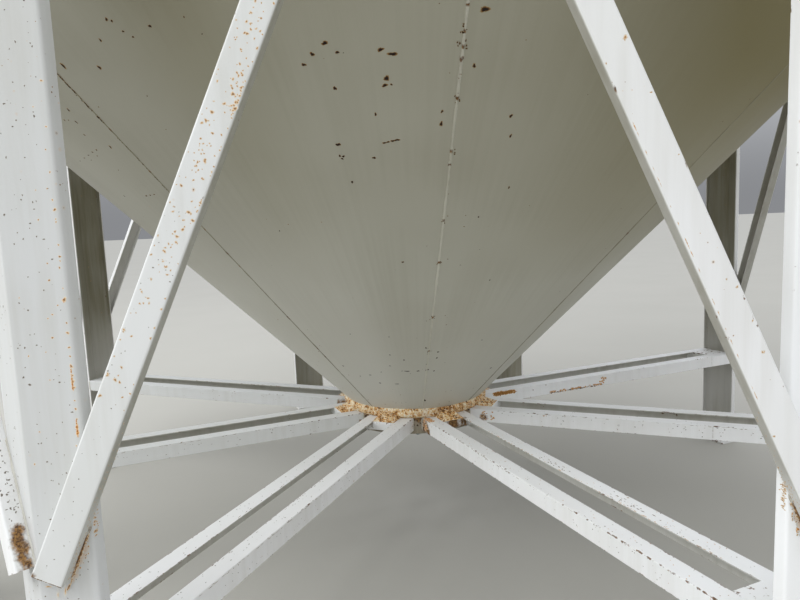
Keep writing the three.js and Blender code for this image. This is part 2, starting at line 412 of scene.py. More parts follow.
# %% Spots in space
def spots(tree, place, ragged, patch, cell, radius, share, grouping, halo):
    """Round spots at the random points of cells. The distance to a cell's point, in cell widths, is bent
    by a fine noise, ragged, and divided by the cell's own size number. Inside the radius it is a chip,
    and out to halo times that a stain. Only a share of the cells, and only where the slow noise, patch,
    is high, has a spot."""
    node, pick = cells(tree, place, 1 / cell)
    size = radius / cell
    bent = maths(tree, "MULTIPLY_ADD", ragged, 1.1 * size, node.outputs["Distance"])
    shifted = maths(tree, "SUBTRACT", bent, 0.55 * size)
    away = maths(tree, "DIVIDE", shifted, ranged(tree, pick[1], 0, 1, 0.45, 1.25))
    some = maths(tree, "LESS_THAN", pick[0], share)
    chosen = times(tree, some, ranged(tree, patch, grouping, grouping + 0.06))
    return [times(tree, ranged(tree, away, outer * size, inner * size, smooth=True), chosen)
            for inner, outer in ((0.75, 1.0), (0.9, halo))]


print("cell and spot sizes are given in metres")

# %% Enamel
CHIPS, PEPPER = (0.040, 0.0026, 0.40, 2.4), (0.019, 0.0015, 0.6, 1.5)


def enamel(name, paint, shade, dirt, chips, roughness, streaks=0.5, bleeding=0.55, round_cone=False,
           under=0.8):
    """Weathered enamel: paint and its darker shade, dirt in upright streaks, chips with stains, worn edges,
    rust. On the cone the streaks follow the number around, its azimuth in radians, instead of the upright.
    Under is the strength of the painted shade, a brown-green darkening, on undersides."""
    material, tree, place = new_finish(name)
    fine, patchy = noise(tree, place, 170, 2), noise(tree, place, 2.9, 1)

    # The paint itself, with a slow change of tone
    colour = mix(tree, ranged(tree, noise(tree, place, 1.7, 2), 0.35, 0.7), paint, shade)

    # Dirt that rain has drawn out downwards, some 30 mm wide and half a metre long
    upright = add(tree, "Mapping", {"Vector": place, "Scale": (34, 34, 2.2)})
    if round_cone:
        height = add(tree, "SeparateXYZ", {"Vector": place}).outputs[2]
        rolled = add(tree, "CombineXYZ", {0: kept(tree, "around"), 1: height})
        upright = add(tree, "Mapping", {"Vector": rolled, "Scale": (60, 1.3, 1)})
    both = times(tree, noise(tree, upright, 1, 3, 0.6), patchy)
    facing = add(tree, "SeparateXYZ", {"Vector": add(tree, "NewGeometry").outputs["Normal"]}).outputs[2]
    steep = ranged(tree, maths(tree, "ABSOLUTE", facing), 0.99, 0.95, 0, streaks)
    colour = mix(tree, times(tree, ranged(tree, both, 0.2, 0.42), steep), colour, dirt)

    # Painted light and shade on the cone, tinted like dust: brown and grey darkening higher up, pale grain
    # dust lighter low down, each with a number on the points
    if round_cone:
        for number, dust in (("brown_dust", "#837a52"), ("grey_dust", "#85847b"), ("grain_dust", "#d9d8d0")):
            colour = mix(tree, kept(tree, number), colour, dust)

    # Painted shade, tinted brown-green like dust and algae: undersides and the hollow sides of the legs are
    # darkened where they lie in shade
    hollow = kept(tree, "inside")
    if not round_cone:
        below = ranged(tree, facing, -0.20, -0.45, 0, under)
        below = maths(tree, "SUBTRACT", below, kept(tree, "spared"), use_clamp=True)
        hollow = maths(tree, "MAXIMUM", hollow, below)
    colour = mix(tree, times(tree, ranged(tree, both, 0.1, 0.4, 0.72, 0.95), hollow), colour, "#7f7a62")

    # Chips 4 to 8 mm across with stains, and a fine pepper of 2 to 3 mm in places
    masks = [spots(tree, place, fine, patchy, cell, radius, share * chips, 0.50, halo)
             for cell, radius, share, halo in (CHIPS, PEPPER)]
    hue = noise(tree, place, 55, 1)
    stain = mix(tree, hue, "#c4986a", "#dcc5a0")
    for core, halo in masks:
        colour = mix(tree, times(tree, halo, bleeding), colour, stain)
    chipped = maths(tree, "MAXIMUM", masks[0][0], masks[1][0])
    colour = mix(tree, chipped, colour, mix(tree, hue, "#473e37", "#85664a"))

    # Edges rubbed and rusted here and there, and the rusty places kept on the points
    bitten = noise(tree, place, 42, 3, 0.65)
    near = maths(tree, "MULTIPLY_ADD", bitten, 1.6, kept(tree, "edge"))
    rubbed = ranged(tree, maths(tree, "MULTIPLY_ADD", patchy, 0.9, near), 2.39, 2.55, smooth=True)
    colour = mix(tree, rubbed, colour, mix(tree, hue, "#43372e", "#94755a"))
    eaten = maths(tree, "MULTIPLY_ADD", bitten, 1.3, kept(tree, "rust"))
    rusted = ranged(tree, eaten, 1.02, 1.5, smooth=True)
    colour = mix(tree, rusted, colour, ramp(tree, fine, {0.36: "#4a3220", 0.66: "#977140"}))

    # Satin paint, dull rust, and the faint orange peel of sprayed paint
    broken = maths(tree, "MAXIMUM", chipped, maths(tree, "MAXIMUM", rubbed, rusted))
    return finished(material, {"Base Color": colour, "Roughness": ranged(tree, broken, 0, 1, roughness, 0.9),
                               "Normal": bump(tree, 0.5, 0.0004, noise(tree, place, 240, 1))})


# A whiter copy of the white enamel, as painted light
LIT_WHITE = enamel("lit_white_alkyd_enamel", "#f3f4f4", "#ededeb", "#b9b4a5", 0.6, 0.40, 0.15)
WHITE = enamel("white_alkyd_enamel", "#e9e9e8", "#e3e3e0", "#b0ab9a", 0.7, 0.42, 0.2)
CHALKY = enamel("chalky_alkyd_enamel", "#dcdddb", "#d5d6d2", "#a8a390", 0.7, 0.5, 0.2)
GREYED = enamel("greyed_alkyd_enamel", "#cfd0cf", "#c9cac7", "#a19c89", 1.1, 0.5, 0.2)
# The cone's enamel is darker than the other whites: dust, and painted shade for the cone's underside in the
# shade of the silo
HOPPER = enamel("dusty_hopper_enamel_with_painted_shade", "#bdbcaf", "#b6b4a6", "#8f8b76", 0.12, 0.5, 0.157, 0.3,
                round_cone=True)
HIGH = enamel("bin_wall_enamel", "#e2e3e0", "#d6d7d2", "#b3ae9c", 0.5, 0.45, 0.42, 0.4)
ROOFING = enamel("faded_roof_enamel", "#c0c1bf", "#a7a8a3", "#7d7866", 0.6, 0.55, 0.7, 0.4,
                 round_cone=True)
RUSTED = enamel("rusted_white_enamel", "#a39c8a", "#8f8672", "#6d5c42", 1.2, 0.6, 0.8, 0.8)
WELD = enamel("painted_weld_bead", "#d2d1c8", "#c0beb2", "#8d836b", 1.0, 0.55, 0.5, 0.7)
# The front seam's bead is lighter than the cone: a painted highlight along it
SEAM = enamel("cone_seam_with_painted_highlight", "#cfcdc0", "#c2c0b1", "#8d8570", 0.8, 0.5, 0.2, 0.5, under=0.0)
DULL_SEAM = enamel("dusty_cone_seam", "#a19e8a", "#938f7a", "#7d7660", 1.2, 0.5, 0.3, 0.5, under=0.3)
print("enamels:", len(bpy.data.materials))

# %% [markdown]
# ## Rust, weld metal and grain
#
# Scale rust stands up from the paint as low crusts: dark brown in the middle, orange at the rim. Weld
# beads were painted with the rest and rust first at their ripples. Spilt grain lies caked round the
# outlet: golden kernels some 6 mm long, from straw to brown. Each of these gets its own short node tree,
# with a number on the points that says where on the crust, or which kernel, a point is.

# %% Rust crust, grain, galvanised steel
def crust(name, stops):
    """Scale rust: the number rim is 0 in the middle of a crust and 1 at its outer edge, where the paint
    around takes over. Stops are places on that way and their colours."""
    material, tree, place = new_finish(name)
    grit = noise(tree, place, 300, 3)
    ragged = maths(tree, "MULTIPLY_ADD", maths(tree, "SUBTRACT", grit, 0.5), 0.5, kept(tree, "rim"))
    return finished(material, {"Base Color": ramp(tree, ragged, stops),
                               "Normal": bump(tree, 0.6, 0.0005, grit),
                               "Roughness": ranged(tree, ragged, 0.7, 1.0, 0.9, 0.5)})


def kernels(name):
    """Caked grain: colour from the kernel's own number tone, with dusty and darker places between."""
    material, tree, place = new_finish(name)
    node, pick = cells(tree, place, 170)
    mixed = maths(tree, "MULTIPLY_ADD", pick[0], 0.7, kept(tree, "tone"))
    value = maths(tree, "MULTIPLY_ADD", noise(tree, place, 34, 3), 2.0, mixed)
    colour = ramp(tree, ranged(tree, value, 0.9, 2.6), {0.10: "#4a3420", 0.24: "#8a5a2c", 0.35: "#c98c42",
                                                        0.47: "#e0b270", 0.61: "#ecd3a2", 0.80: "#f5ecd6"})
    return finished(material, {"Base Color": colour, "Roughness": 0.75,
                               "Normal": bump(tree, 0.8, 0.0015, node.outputs["Distance"])})


def galvanised(name):
    """Hot-dip zinc gone dull: grey metal with spangle about 9 mm across and white bloom."""
    material, tree, place = new_finish(name)
    pick = cells(tree, place, 110)[1]
    return finished(material, {"Base Color": mix(tree, pick[0], "#7f8486", "#a3a7a6"), "Metallic": 0.8,
                               "Roughness": ranged(tree, pick[1], 0, 1, 0.45, 0.7)})


CONE_RUST = crust("scale_rust_on_cone", {0.0: "#0d0805", 0.42: "#1c110a", 0.58: "#563413", 0.76: "#94703f",
                                         0.96: "#afa98f"})
MARK = crust("dark_mark_on_cone", {0.0: "#0f0a06", 0.60: "#21160e", 0.84: "#5e4c37", 1.0: "#98947e"})
FRECKLE = crust("rust_freckle_on_white", {0.0: "#4f4136", 0.22: "#7d624b", 0.42: "#bd9469", 0.64: "#dcc39d",
                                          0.92: "#d3d1cb"})
SCRATCH = crust("scratch_to_dark_steel", {0.0: "#3a2f27", 0.50: "#5c4839", 0.72: "#a08a72", 0.92: "#d6d4ce"})
BLOTCH = crust("orange_rust_on_white", {0.0: "#5a3a20", 0.22: "#8e5a2c", 0.45: "#c98a45", 0.70: "#dfb986",
                                        0.94: "#d3d1cb"})
AMBER = crust("bright_orange_rust_on_white", {0.0: "#a9692f", 0.35: "#c98c4c", 0.70: "#dcb080",
                                              0.97: "#ded5c6"})
GOLD = crust("golden_rust_on_white", {0.0: "#6b4720", 0.40: "#a77334", 0.75: "#c79a5a", 0.97: "#d6c8ad"})
SPECK = crust("dark_speck_on_white", {0.0: "#3f3a34", 0.40: "#625a50", 0.72: "#a39e94", 0.95: "#cfcfcb"})
BLED = crust("rust_bled_into_paint", {0.0: "#cdb59f", 0.5: "#d0c0ae", 0.95: "#cecdc8"})
DARK_RUST_AND_SHADE = crust("old_rust_and_painted_shade_on_collar", {0.0: "#2a2018", 0.55: "#443425", 1.0: "#6b5640"})
SPATTER = crust("weld_spatter", {0.0: "#55544f", 0.7: "#73716a", 1.0: "#a3a29b"})
GRAIN, ZINC = kernels("caked_grain"), galvanised("dull_zinc")
print("finishes in all:", len(bpy.data.materials))

# %% [markdown]
# ## Legs
#
# A leg is one plate folded three times: its two faces follow the bays beside it, and narrow lips stiffen
# its sides. It could be a solid with bevelled edges, but a folded plate shows its bend as a soft
# highlight, so the outline has real bend radii and is carried upwards every 15 mm, which also gives the
# rust places to sit.

# %% Legs
def leg_plate(low_shade):
    """The folded outline, outside then inside, carried from the ground to the ring beam. The low shade is how
    strong the painted shade on the hollow side is up to 0.6 m; it grows to full at 1.05 m."""
    inner = SPOKE_HALF - LEG_WALL
    inner_apex = LEG_APEX - LEG_WALL / cos(MITRE)
    inner_bend = inner_apex - inner * tan(MITRE)
    corners = [(SPOKE_HALF, -LIP_END), (inner, -LIP_END), (inner, -inner_bend), (0, -inner_apex),
               (-inner, -inner_bend), (-inner, -LIP_END), (-SPOKE_HALF, -LIP_END),
               (-SPOKE_HALF, -LEG_BEND), (0, -LEG_APEX), (SPOKE_HALF, -LEG_BEND)]
    small, big = PLATE_BEND - LEG_WALL, PLATE_BEND
    outline, worn = filled(*rounded(corners, [CUT_EDGE] * 2 + [small] * 3 + [CUT_EDGE] * 2 + [big] * 3))
    heights = stations(0, RING_BOTTOM, 0.015)
    plate = carried(xyz(*outline.T, heights[:, None]), worn * 0.85)
    x, y = np.abs(outline[:, 0]), -outline[:, 1]
    hollow = (x < inner + 0.0003) & (y < inner_apex - x * tan(MITRE) + 0.0003)
    # Painted shade: the hollow side is darkened, more so higher up under the cone; its number is inside
    plate["inside"] = (hollow[None, :] * np.interp(heights, [0.6, 1.05], [low_shade, 1.0])[:, None]).ravel()
    return plate, inner_apex


def leg(number):
    """The plate with its foot and the web that ties it to the cylinder above the cone."""
    # The back legs 4 and 5 get full painted shade on the hollow side down to the ground
    plate, inner_apex = leg_plate(1.0 if number in (4, 5) else 0.45)
    middle, azimuth = (LIP_END + LEG_APEX) / 2, leg_azimuth(number)
    foot = block((-FOOT_HALF, -middle - FOOT_HALF, 0), (FOOT_HALF, -middle + FOOT_HALF, FOOT_PLATE), 0.002)
    web = block((-WEB_HALF, -inner_apex - 0.001, WALL_BOTTOM), (WEB_HALF, -WALL_RADIUS, RING_BOTTOM), 0.0008)
    stains = [(*turn(xyz(side * (SPOKE_HALF - LEG_WALL), -LEG_BEND, height), azimuth), reach)
              for side in (-1, 1) for height, reach in LEG_STAINS.get(number, ((0.05, 0.07),))]
    return piece(f"leg_{number}_folded_plate", [swung(part, azimuth) for part in (plate, foot, web)],
                 LEG_FINISH.get(number, WHITE), [f"leg_{number}"], stains)


# Heights and reaches of rusty places on the leg's edges, in metres
LEG_STAINS = {8: ((0.04, 0.08), (0.60, 0.03)), 1: ((0.05, 0.07), (0.60, 0.03))}
# Leg 1 gets the whiter enamel as painted light, and leg 8, at the left front, the greyer one as painted shade
LEG_FINISH = {8: GREYED, 1: LIT_WHITE}
for number in range(1, BAYS + 1):
    leg(number)

# %% [markdown]
# ## Braces
#
# Each brace is a channel, open towards the silo, with its foot cut square above the spokes and its top
# mitred under the ring beam. The outline is kept in the channel's own measure, across and outwards, and
# laid on the slope as it is carried, so both cuts come out flat without cutting anything.

# %% Braces
ACROSS = hypot(1, BRACE_SLOPE)


def brace_x(z, off=0.0):
    """Distance from the bay's middle, at a height, of the line that lies off inside a brace's outer
    edge."""
    return BRACE_OUTER - off - BRACE_SLOPE * (z - SPOKE_TOP)


def brace(bay, side):
    """For a point w across the face, x = side * (outer edge - w - slope * height), with the height
    running from the square foot, 0.824 + (width - w) * slope / (1 + slope^2), to the lower of the ring
    beam and the mitre."""
    width, depth, wall = BRACE_WIDTH, BRACE_DEPTH, BRACE_WALL
    corners = [(0, 0), (0, depth), (width, depth), (width, 0), (width - wall, 0),
               (width - wall, depth - wall), (wall, depth - wall), (wall, 0)]
    small = CHANNEL_BEND - wall / 2
    outline, worn = filled(*rounded(corners, [CUT_EDGE, CHANNEL_BEND, CHANNEL_BEND, CUT_EDGE, CUT_EDGE, small,
                                              small, CUT_EDGE]))
    w = outline[:, 0] * ACROSS
    low = BRACE_FOOT + (width * ACROSS - w) * BRACE_SLOPE / ACROSS ** 2
    high = np.minimum(RING_BOTTOM - GAP, SPOKE_TOP + (BRACE_OUTER - w - GAP) / BRACE_SLOPE)
    z = low + (high - low) * stations(0, 1, 0.01)[:, None]
    azimuth = BETWEEN * (bay - 1)
    part = swung(carried(xyz(side * brace_x(z, w), -(BAY_PLANE + outline[:, 1]), z), worn * 0.8), azimuth)
    # Near the foot the flanges' outer faces are spared most of the painted shade on undersides, and get a
    # light brown-green tint instead
    flange_faces = (outline[:, 0] > width - 0.0005) | (outline[:, 0] < 0.0005)
    for key, reach, amount in (("inside", [0.85, 1.15], 0.25), ("spared", [0.92, 1.08], 0.75)):
        part[key] = (flange_faces[None, :] * np.interp(z[:, 0], reach, [amount, 0.0])[:, None]).ravel()
    name = f"brace_{bay}_{SIDE_NAMES[side]}"
    stains = []
    for height, off, reach in BRACE_STAINS.get((bay, side), ((0.83, 0.077, 0.03),)):
        out = BAY_PLANE + (depth if off >= 0 else depth / 2)
        stains.append((*turn(xyz(side * brace_x(height, off), -out, height), azimuth), reach))
    finish = CHALKY if (bay, side) == (1, LEFT_BAY) else WHITE
    return piece(f"{name}_channel", [part], finish, [name], stains)


# Height, distance in from the outer edge and reach of rusty places on the braces' faces, in metres
BRACE_STAINS = {(1, -1): ((0.850, 0.003, 0.010), (1.22, 0.002, 0.012)),
                (1, 1): ((1.71, 0.0, 0.006), (1.665, 0.0, 0.006), (1.81, 0.077, 0.008)),
                (8, 1): tuple((height, -0.002, 0.027) for height in (0.85, 0.865, 0.88, 0.895, 0.91, 0.93))}
for bay in range(1, BAYS + 1):
    for side in SIDE_NAMES:
        brace(bay, side)

# %% [markdown]
# ## Spokes
#
# Two rolled angles run from the collar to each leg, flanges inwards. Their ends follow the collar's
# round, so each line of the skin starts at its own distance from the axis. A shoe plate bridges them at
# the leg, and a shelf with a turned-down edge bridges them at the collar. Grain has lodged there.

# %% Spokes
FLANGE_HALF, WEB_INSIDE = SPOKE_HALF - ANGLE_SIZE, SPOKE_HALF - ANGLE_WALL
FLANGE_UNDER, ANGLE_BOTTOM = SPOKE_TOP - ANGLE_WALL, SPOKE_TOP - ANGLE_SIZE
SHELF_BOTTOM, SHELF_INSIDE = SPOKE_TOP - SHELF_DROP, SHELF_END - ANGLE_WALL


def angle_bar(side):
    """The angle's outline in x and z, carried outwards from the collar, y = -(start + (end - start) * t),
    where start is the collar's circle at that x."""
    outer, flange, web = side * SPOKE_HALF, side * FLANGE_HALF, side * WEB_INSIDE
    corners = [(outer, ANGLE_BOTTOM), (outer, SPOKE_TOP), (flange, SPOKE_TOP), (flange, FLANGE_UNDER),
               (web, FLANGE_UNDER), (web, ANGLE_BOTTOM)]
    radii = [CUT_EDGE, ANGLE_HEEL, CUT_EDGE * 2, CUT_EDGE * 2, 0.006, CUT_EDGE * 2]
    outline, worn = filled(*rounded(corners, radii))
    hidden = (np.abs(outline[:, 0]) < WEB_INSIDE + 0.0004) & (outline[:, 1] < SPOKE_TOP - 0.0005)
    start = np.sqrt((COLLAR_OUTER + 0.0002) ** 2 - outline[:, 0] ** 2)
    t = stations(0, 1, 0.0106)[:, None]
    y = -(start + (LIP_END - GAP - start) * t)
    bar = carried(xyz(outline[:, 0], y, outline[:, 1]), worn * 1.02)
    # Painted shade in the recess under the flange: the web's inner side is darkened by the number inside
    bar["inside"] = np.tile(hidden * 0.62, len(t))
    return bar


def shelf():
    """A plate bent down at its end: its outline in y and z, carried across from angle to angle."""
    start = -COLLAR_OUTER + 0.003
    corners = [(start, SPOKE_TOP), (-SHELF_END, SPOKE_TOP), (-SHELF_END, SHELF_BOTTOM),
               (-SHELF_INSIDE, SHELF_BOTTOM), (-SHELF_INSIDE, FLANGE_UNDER), (start, FLANGE_UNDER)]
    outline, worn = rounded(corners, [CUT_EDGE, 0.007, CUT_EDGE, CUT_EDGE, 0.002, CUT_EDGE])
    x = stations(-FLANGE_HALF - 0.0005, FLANGE_HALF + 0.0005, 0.01)
    return carried(xyz(x[:, None], *outline.T), worn)


def spoke(number):
    """Two angles, the shoe, the shelf and its turned-down plate below the flanges."""
    parts = [angle_bar(-1), angle_bar(1), shelf(),
             block((-FLANGE_HALF, -LIP_END + GAP, FLANGE_UNDER), (FLANGE_HALF, -SHOE_START, SPOKE_TOP)),
             block((-WEB_INSIDE, -SHOE_START - ANGLE_WALL, ANGLE_BOTTOM),
                   (WEB_INSIDE, -SHOE_START, FLANGE_UNDER)),
             block((-WEB_INSIDE, -SHELF_END, SHELF_BOTTOM), (-FLANGE_HALF, -SHELF_INSIDE, FLANGE_UNDER)),
             block((FLANGE_HALF, -SHELF_END, SHELF_BOTTOM), (WEB_INSIDE, -SHELF_INSIDE, FLANGE_UNDER))]
    azimuth = leg_azimuth(number)
    stains = [(*turn(xyz(x, -away, height), azimuth), reach)
              for x, away, height, reach in SPOKE_STAINS.get(number, BOTH_ENDS)]
    return piece(f"spoke_{number}_twin_angles", [swung(part, azimuth) for part in parts],
                 SPOKE_FINISH.get(number, WHITE), [f"spoke_{number}"], stains)


# Across, away from the axis, height and reach of rusty places on the spokes, in metres
BOTH_ENDS = ((-0.118, 0.39, 0.57, 0.05), (0.118, 0.39, 0.57, 0.05))
SPOKE_STAINS = {1: ((-0.118, 0.365, 0.57, 0.07), (-0.118, 0.40, 0.55, 0.045), (0.0, 0.445, 0.58, 0.06),
                    (0.06, 0.445, 0.575, 0.05), (0.118, 0.37, 0.57, 0.05)),
                2: ((-0.118, 0.41, 0.56, 0.03),), 3: ((-0.118, 0.50, 0.59, 0.02),),
                8: ((0.118, 0.345, 0.555, 0.02),), 7: ((0.118, 0.36, 0.56, 0.02),)}
# Spokes 1 to 3 get the whiter enamel as painted light
SPOKE_FINISH = {1: LIT_WHITE, 2: LIT_WHITE, 3: LIT_WHITE, 7: CHALKY, 6: GREYED}
for number in range(1, BAYS + 1):
    spoke(number)

# %% [markdown]
# ## Collar and outlet
#
# A heavy rolled hoop closes the cone's tip and takes the spokes. Its outlet is closed by a bolted disc.
# Both are turned shapes: an outline of radius and height carried round the axis.

# %% Collar and outlet
DISC_PLATE, DISC_EDGE, HEAD_RADIUS, HEAD_HEIGHT = 0.008, 0.001, 0.0105, 0.0075

outline, worn = rounded([(COLLAR_OUTER, COLLAR_BOTTOM), (COLLAR_OUTER, COLLAR_TOP),
                         (COLLAR_INNER, COLLAR_TOP), (COLLAR_INNER, COLLAR_BOTTOM)], 0.0015)
ledge = [(*polar(COLLAR_OUTER, radians(a), 0.605), 0.035) for a in range(0, 360, 6)]
piece("collar_hoop", [turned(outline, worn, 180)], RUSTED, ["collar"], ledge)
face = COLLAR_BOTTOM - GAP
disc = capped([(COLLAR_OUTER - DISC_EDGE, face - DISC_PLATE), (COLLAR_OUTER, face - DISC_PLATE + DISC_EDGE),
               (COLLAR_OUTER, face - DISC_EDGE), (COLLAR_OUTER - DISC_EDGE, face)])


def hexagon(radius, low, high, x, y):
    """A hexagon head with its corners taken off above."""
    return small_solid(6, [(radius, low), (radius, low + (high - low) * 0.85), (0.9 * radius, high)], x, y)


heads = [hexagon(HEAD_RADIUS, face - DISC_PLATE - HEAD_HEIGHT, face - DISC_PLATE, BOLT_CIRCLE * sin(a),
                 BOLT_CIRCLE * cos(a)) for a in np.arange(BOLTS) * 2 * np.pi / BOLTS]
piece("outlet_disc", [disc], RUSTED, ["outlet_gate"])
piece("outlet_bolt_heads", heads, ZINC, weighted=False)
print("bolt heads under the outlet:", len(heads))

# %% [markdown]
# ## Cone
#
# The cone is nine rolled plates with welded seams. Each plate was pressed in narrow strips on a brake, so
# close up the cone is not quite round: faint flats about 5 degrees wide run down it. A skin with the
# exact cone would look too perfect, so the radius follows the flats by a third, and swells by a
# millimetre between the seams.

# %% Cone plates
FLATS, PRESSED, SWELL = 8, 0.35, 0.0012
seams = list(SEAMS_IN_FRONT)
behind = (360 - (seams[-1] - seams[0])) / PLATES_BEHIND
seams += [seams[-1] + behind * (i + 1) for i in range(PLATES_BEHIND)]


def cone_radius(height):
    """Outside radius of the cone at a height."""
    return (height - CONE_TIP) * CONE_RATE


def cone_dust_and_shading(azimuth, height):
    """Three amounts from 0 to 1, dust tints that also stand for painted shade and painted light. Brown dust
    and painted shade: a quarter of the way up, thick on the right from 2 to 38 degrees and in a bunch at -19.5
    degrees. Grey dust and painted shade: higher up, left of -14 degrees, and behind. Pale grain dust and
    painted light: low down, most on the left. Soft(t) is 3t^2 - 2t^3."""
    def soft(t):
        t = np.clip(t, 0, 1)
        return t * t * (3 - 2 * t)

    a = (np.degrees(azimuth) + 180) % 360 - 180
    up, behind = np.clip((height - 1.3) / 0.85, 0, 1), soft((a - 80) / 60)
    brown = (0.25 * up + 0.9 * up ** 0.8 * soft((a - 2) / 36) * (1 - behind)
             + 0.3 * up * np.exp(-((a + 19.5) / 6.5) ** 2))
    grey = 0.33 * np.clip((height - 1.1) / 0.5, 0, 1) * (soft((-14 - a) / 26) + behind)
    grain = (0.35 * np.clip((1.35 - height) / 0.6, 0, 1)
             + 0.3 * soft((-4 - a) / 14) * soft((a + 100) / 40) * soft((1.75 - height) / 0.5))
    return {"brown_dust": np.clip(brown, 0, 1), "grey_dust": grey, "grain_dust": grain}


def lined(outside, inside, azimuth, height):
    """A plate between upright edges: at each azimuth one closed outline, up the outside and down the
    inside."""
    radius = np.concatenate(np.broadcast_arrays(outside, inside[..., ::-1]), -1)
    part = carried(polar(radius, azimuth, np.concatenate([height, height[::-1]])))
    part["edge"][:] = 0
    return part


def cone_plate(number):
    """The outside radius is multiplied by 1 - 0.35 * (1 - cos(half flat) / cos(angle from the flat's
    middle)), and swells by 1.2 mm in the plate's middle."""
    start, end = radians(seams[number - 1]), radians(seams[number])
    azimuth = np.linspace(start, end, FLATS * 5 + 1)[:, None]
    half = (end - start) / FLATS / 2
    within = np.abs((azimuth - start) % (2 * half) - half)
    pressed = 1 - PRESSED * (1 - cos(half) / np.cos(within))
    height = stations(COLLAR_TOP + GAP, WALL_BOTTOM, 0.04)
    up = (height - height[0]) / (height[-1] - height[0])
    swell = SWELL * np.sin(np.pi * (azimuth - start) / (end - start)) * np.sin(np.pi * up)[None]
    outside = cone_radius(height)[None] * pressed - SWELL + swell
    inside = cone_radius(height) - CONE_WALL * hypot(1, CONE_RATE) + 0 * azimuth
    part = lined(outside, inside, azimuth, height)
    part["around"] = np.repeat(azimuth[:, 0], 2 * len(height))
    part.update(cone_dust_and_shading(part["around"], part["points"][:, 2]))
    return piece(f"cone_plate_{number}_pressed", [part], HOPPER, [f"cone_plate_{number}"],
                 weighted=False)


for number in range(1, len(seams)):
    cone_plate(number)

# %% [markdown]
# ## Cylinder, ring beam, roof, neck and lid
#
# Three courses of plate make the cylinder. Welding pulls the plates in slightly at each seam, which shows
# as a soft band of light, so the radius dips by 3 mm there. The rest are turned shapes from outlines with
# rounded corners.

# %% Cylinder wall
DIP = 0.003


def wall_quarter(number):
    """The outside radius is the wall's, less 3 mm * exp(-(distance from a seam / 45 mm)^2) at the two
    level seams."""
    azimuth = np.linspace(radians(90 * (number - 1.5)), radians(90 * (number - 0.5)), 76)[:, None]
    height = stations(WALL_BOTTOM, EAVE, 0.03)
    radius = np.full_like(height, WALL_RADIUS)
    for level in range(1, COURSES):
        radius -= DIP * np.exp(-((height - WALL_BOTTOM - level * COURSE) / 0.045) ** 2)
    part = lined(radius, np.full_like(height, WALL_RADIUS - WALL_PLATE - DIP), azimuth, height)
    return piece(f"wall_{number}_three_courses", [part], HIGH, [f"wall_{number}"],
                 weighted=False)


for number in range(1, 5):
    wall_quarter(number)

# %% Ring beam, roof, neck and lid
low, high, inner = RING_BOTTOM, RING_BOTTOM + RING_HEIGHT, WALL_RADIUS + GAP
outline, worn = rounded([(inner, low), (RING_OUTER, low), (RING_OUTER, high), (inner, high),
                         (inner, high - RING_WALL), (RING_OUTER - RING_WALL, high - RING_WALL),
                         (RING_OUTER - RING_WALL, low + RING_WALL), (inner, low + RING_WALL)],
                        [CUT_EDGE, 0.012, 0.012, CUT_EDGE, CUT_EDGE, 0.005, 0.005, CUT_EDGE])
piece("ring_beam_rolled_channel", [turned(outline, worn, 320)], WHITE, ["ring_beam"])


def roof_height(radius):
    """Underside of the roof at a radius."""
    return EAVE + GAP + (WALL_RADIUS - radius) * ROOF_RISE


ROOF_SEGMENTS = 320
thick = ROOF_PLATE * hypot(1, ROOF_RISE)
low, high = WALL_RADIUS + OVERHANG, NECK_RADIUS + GAP
outline, worn = rounded([(low, roof_height(low)), (low, roof_height(low) + thick),
                         (high, roof_height(high) + thick), (high, roof_height(high))], CUT_EDGE)
part = turned(outline, worn, ROOF_SEGMENTS)
part["around"] = np.repeat(np.arange(ROOF_SEGMENTS) * 2 * np.pi / ROOF_SEGMENTS, len(outline))
piece("roof_cone", [part], ROOFING, ["roof"])

neck_bottom = roof_height(NECK_RADIUS) - 0.020
neck_top = neck_bottom + NECK_HEIGHT
bore = NECK_RADIUS - NECK_WALL
outline, worn = rounded([(NECK_RADIUS, neck_bottom), (NECK_RADIUS, neck_top), (bore, neck_top),
                         (bore, neck_bottom)], CUT_EDGE)
piece("filling_neck", [turned(outline, worn, 160)], HIGH, ["roof_neck"])

rim, seat, under = NECK_RADIUS + LID_OVERLAP, NECK_RADIUS - LID_SEAT, neck_top + GAP
top, skirt = under + NECK_WALL, neck_top - LID_SKIRT
inside = rim - NECK_WALL
lid = capped([(0.02, under + LID_RISE * (1 - 0.02 / seat)), (seat, under), (inside - 0.003, under),
              (inside, under - 0.003), (inside, skirt + 0.0008), (inside + 0.0008, skirt),
              (rim - 0.0008, skirt), (rim, skirt + 0.0008), (rim, top - 0.006),
              (rim - 0.0018, top - 0.0018), (rim - 0.006, top),
              (seat + 0.006, top), (seat - 0.006, top + 0.0022), (0.06, top + LID_RISE * (1 - 0.06 / seat)),
              (0.02, top + LID_RISE - 0.006)])
piece("neck_lid", [lid], GREYED, ["lid"])
print("lid's top:", round(float(lid["points"][:, 2].max()), 4))

# %% [markdown]
# ## Weld beads
#
# A bead is a flat round rod with ripples, half sunk in the plate. It could be a bump in the material, but
# the front seam of the cone is seen from close by and throws a thin shadow, so it is real: an ellipse
# carried along the seam, its size changed by a ripple every 12 mm and a slow wander. Fillets are the same
# rod laid in the corner.

# %% Weld beads
chance = np.random.default_rng(41)
BEAD_SIDES = 8
LEFT_SEAM, FRONT_SEAM = SEAMS_IN_FRONT[:2]
RUSTY_HEIGHTS = np.array([2.09, 2.04, 2.01, 1.90, 1.77, 1.565, 1.415, 1.18, 1.01])


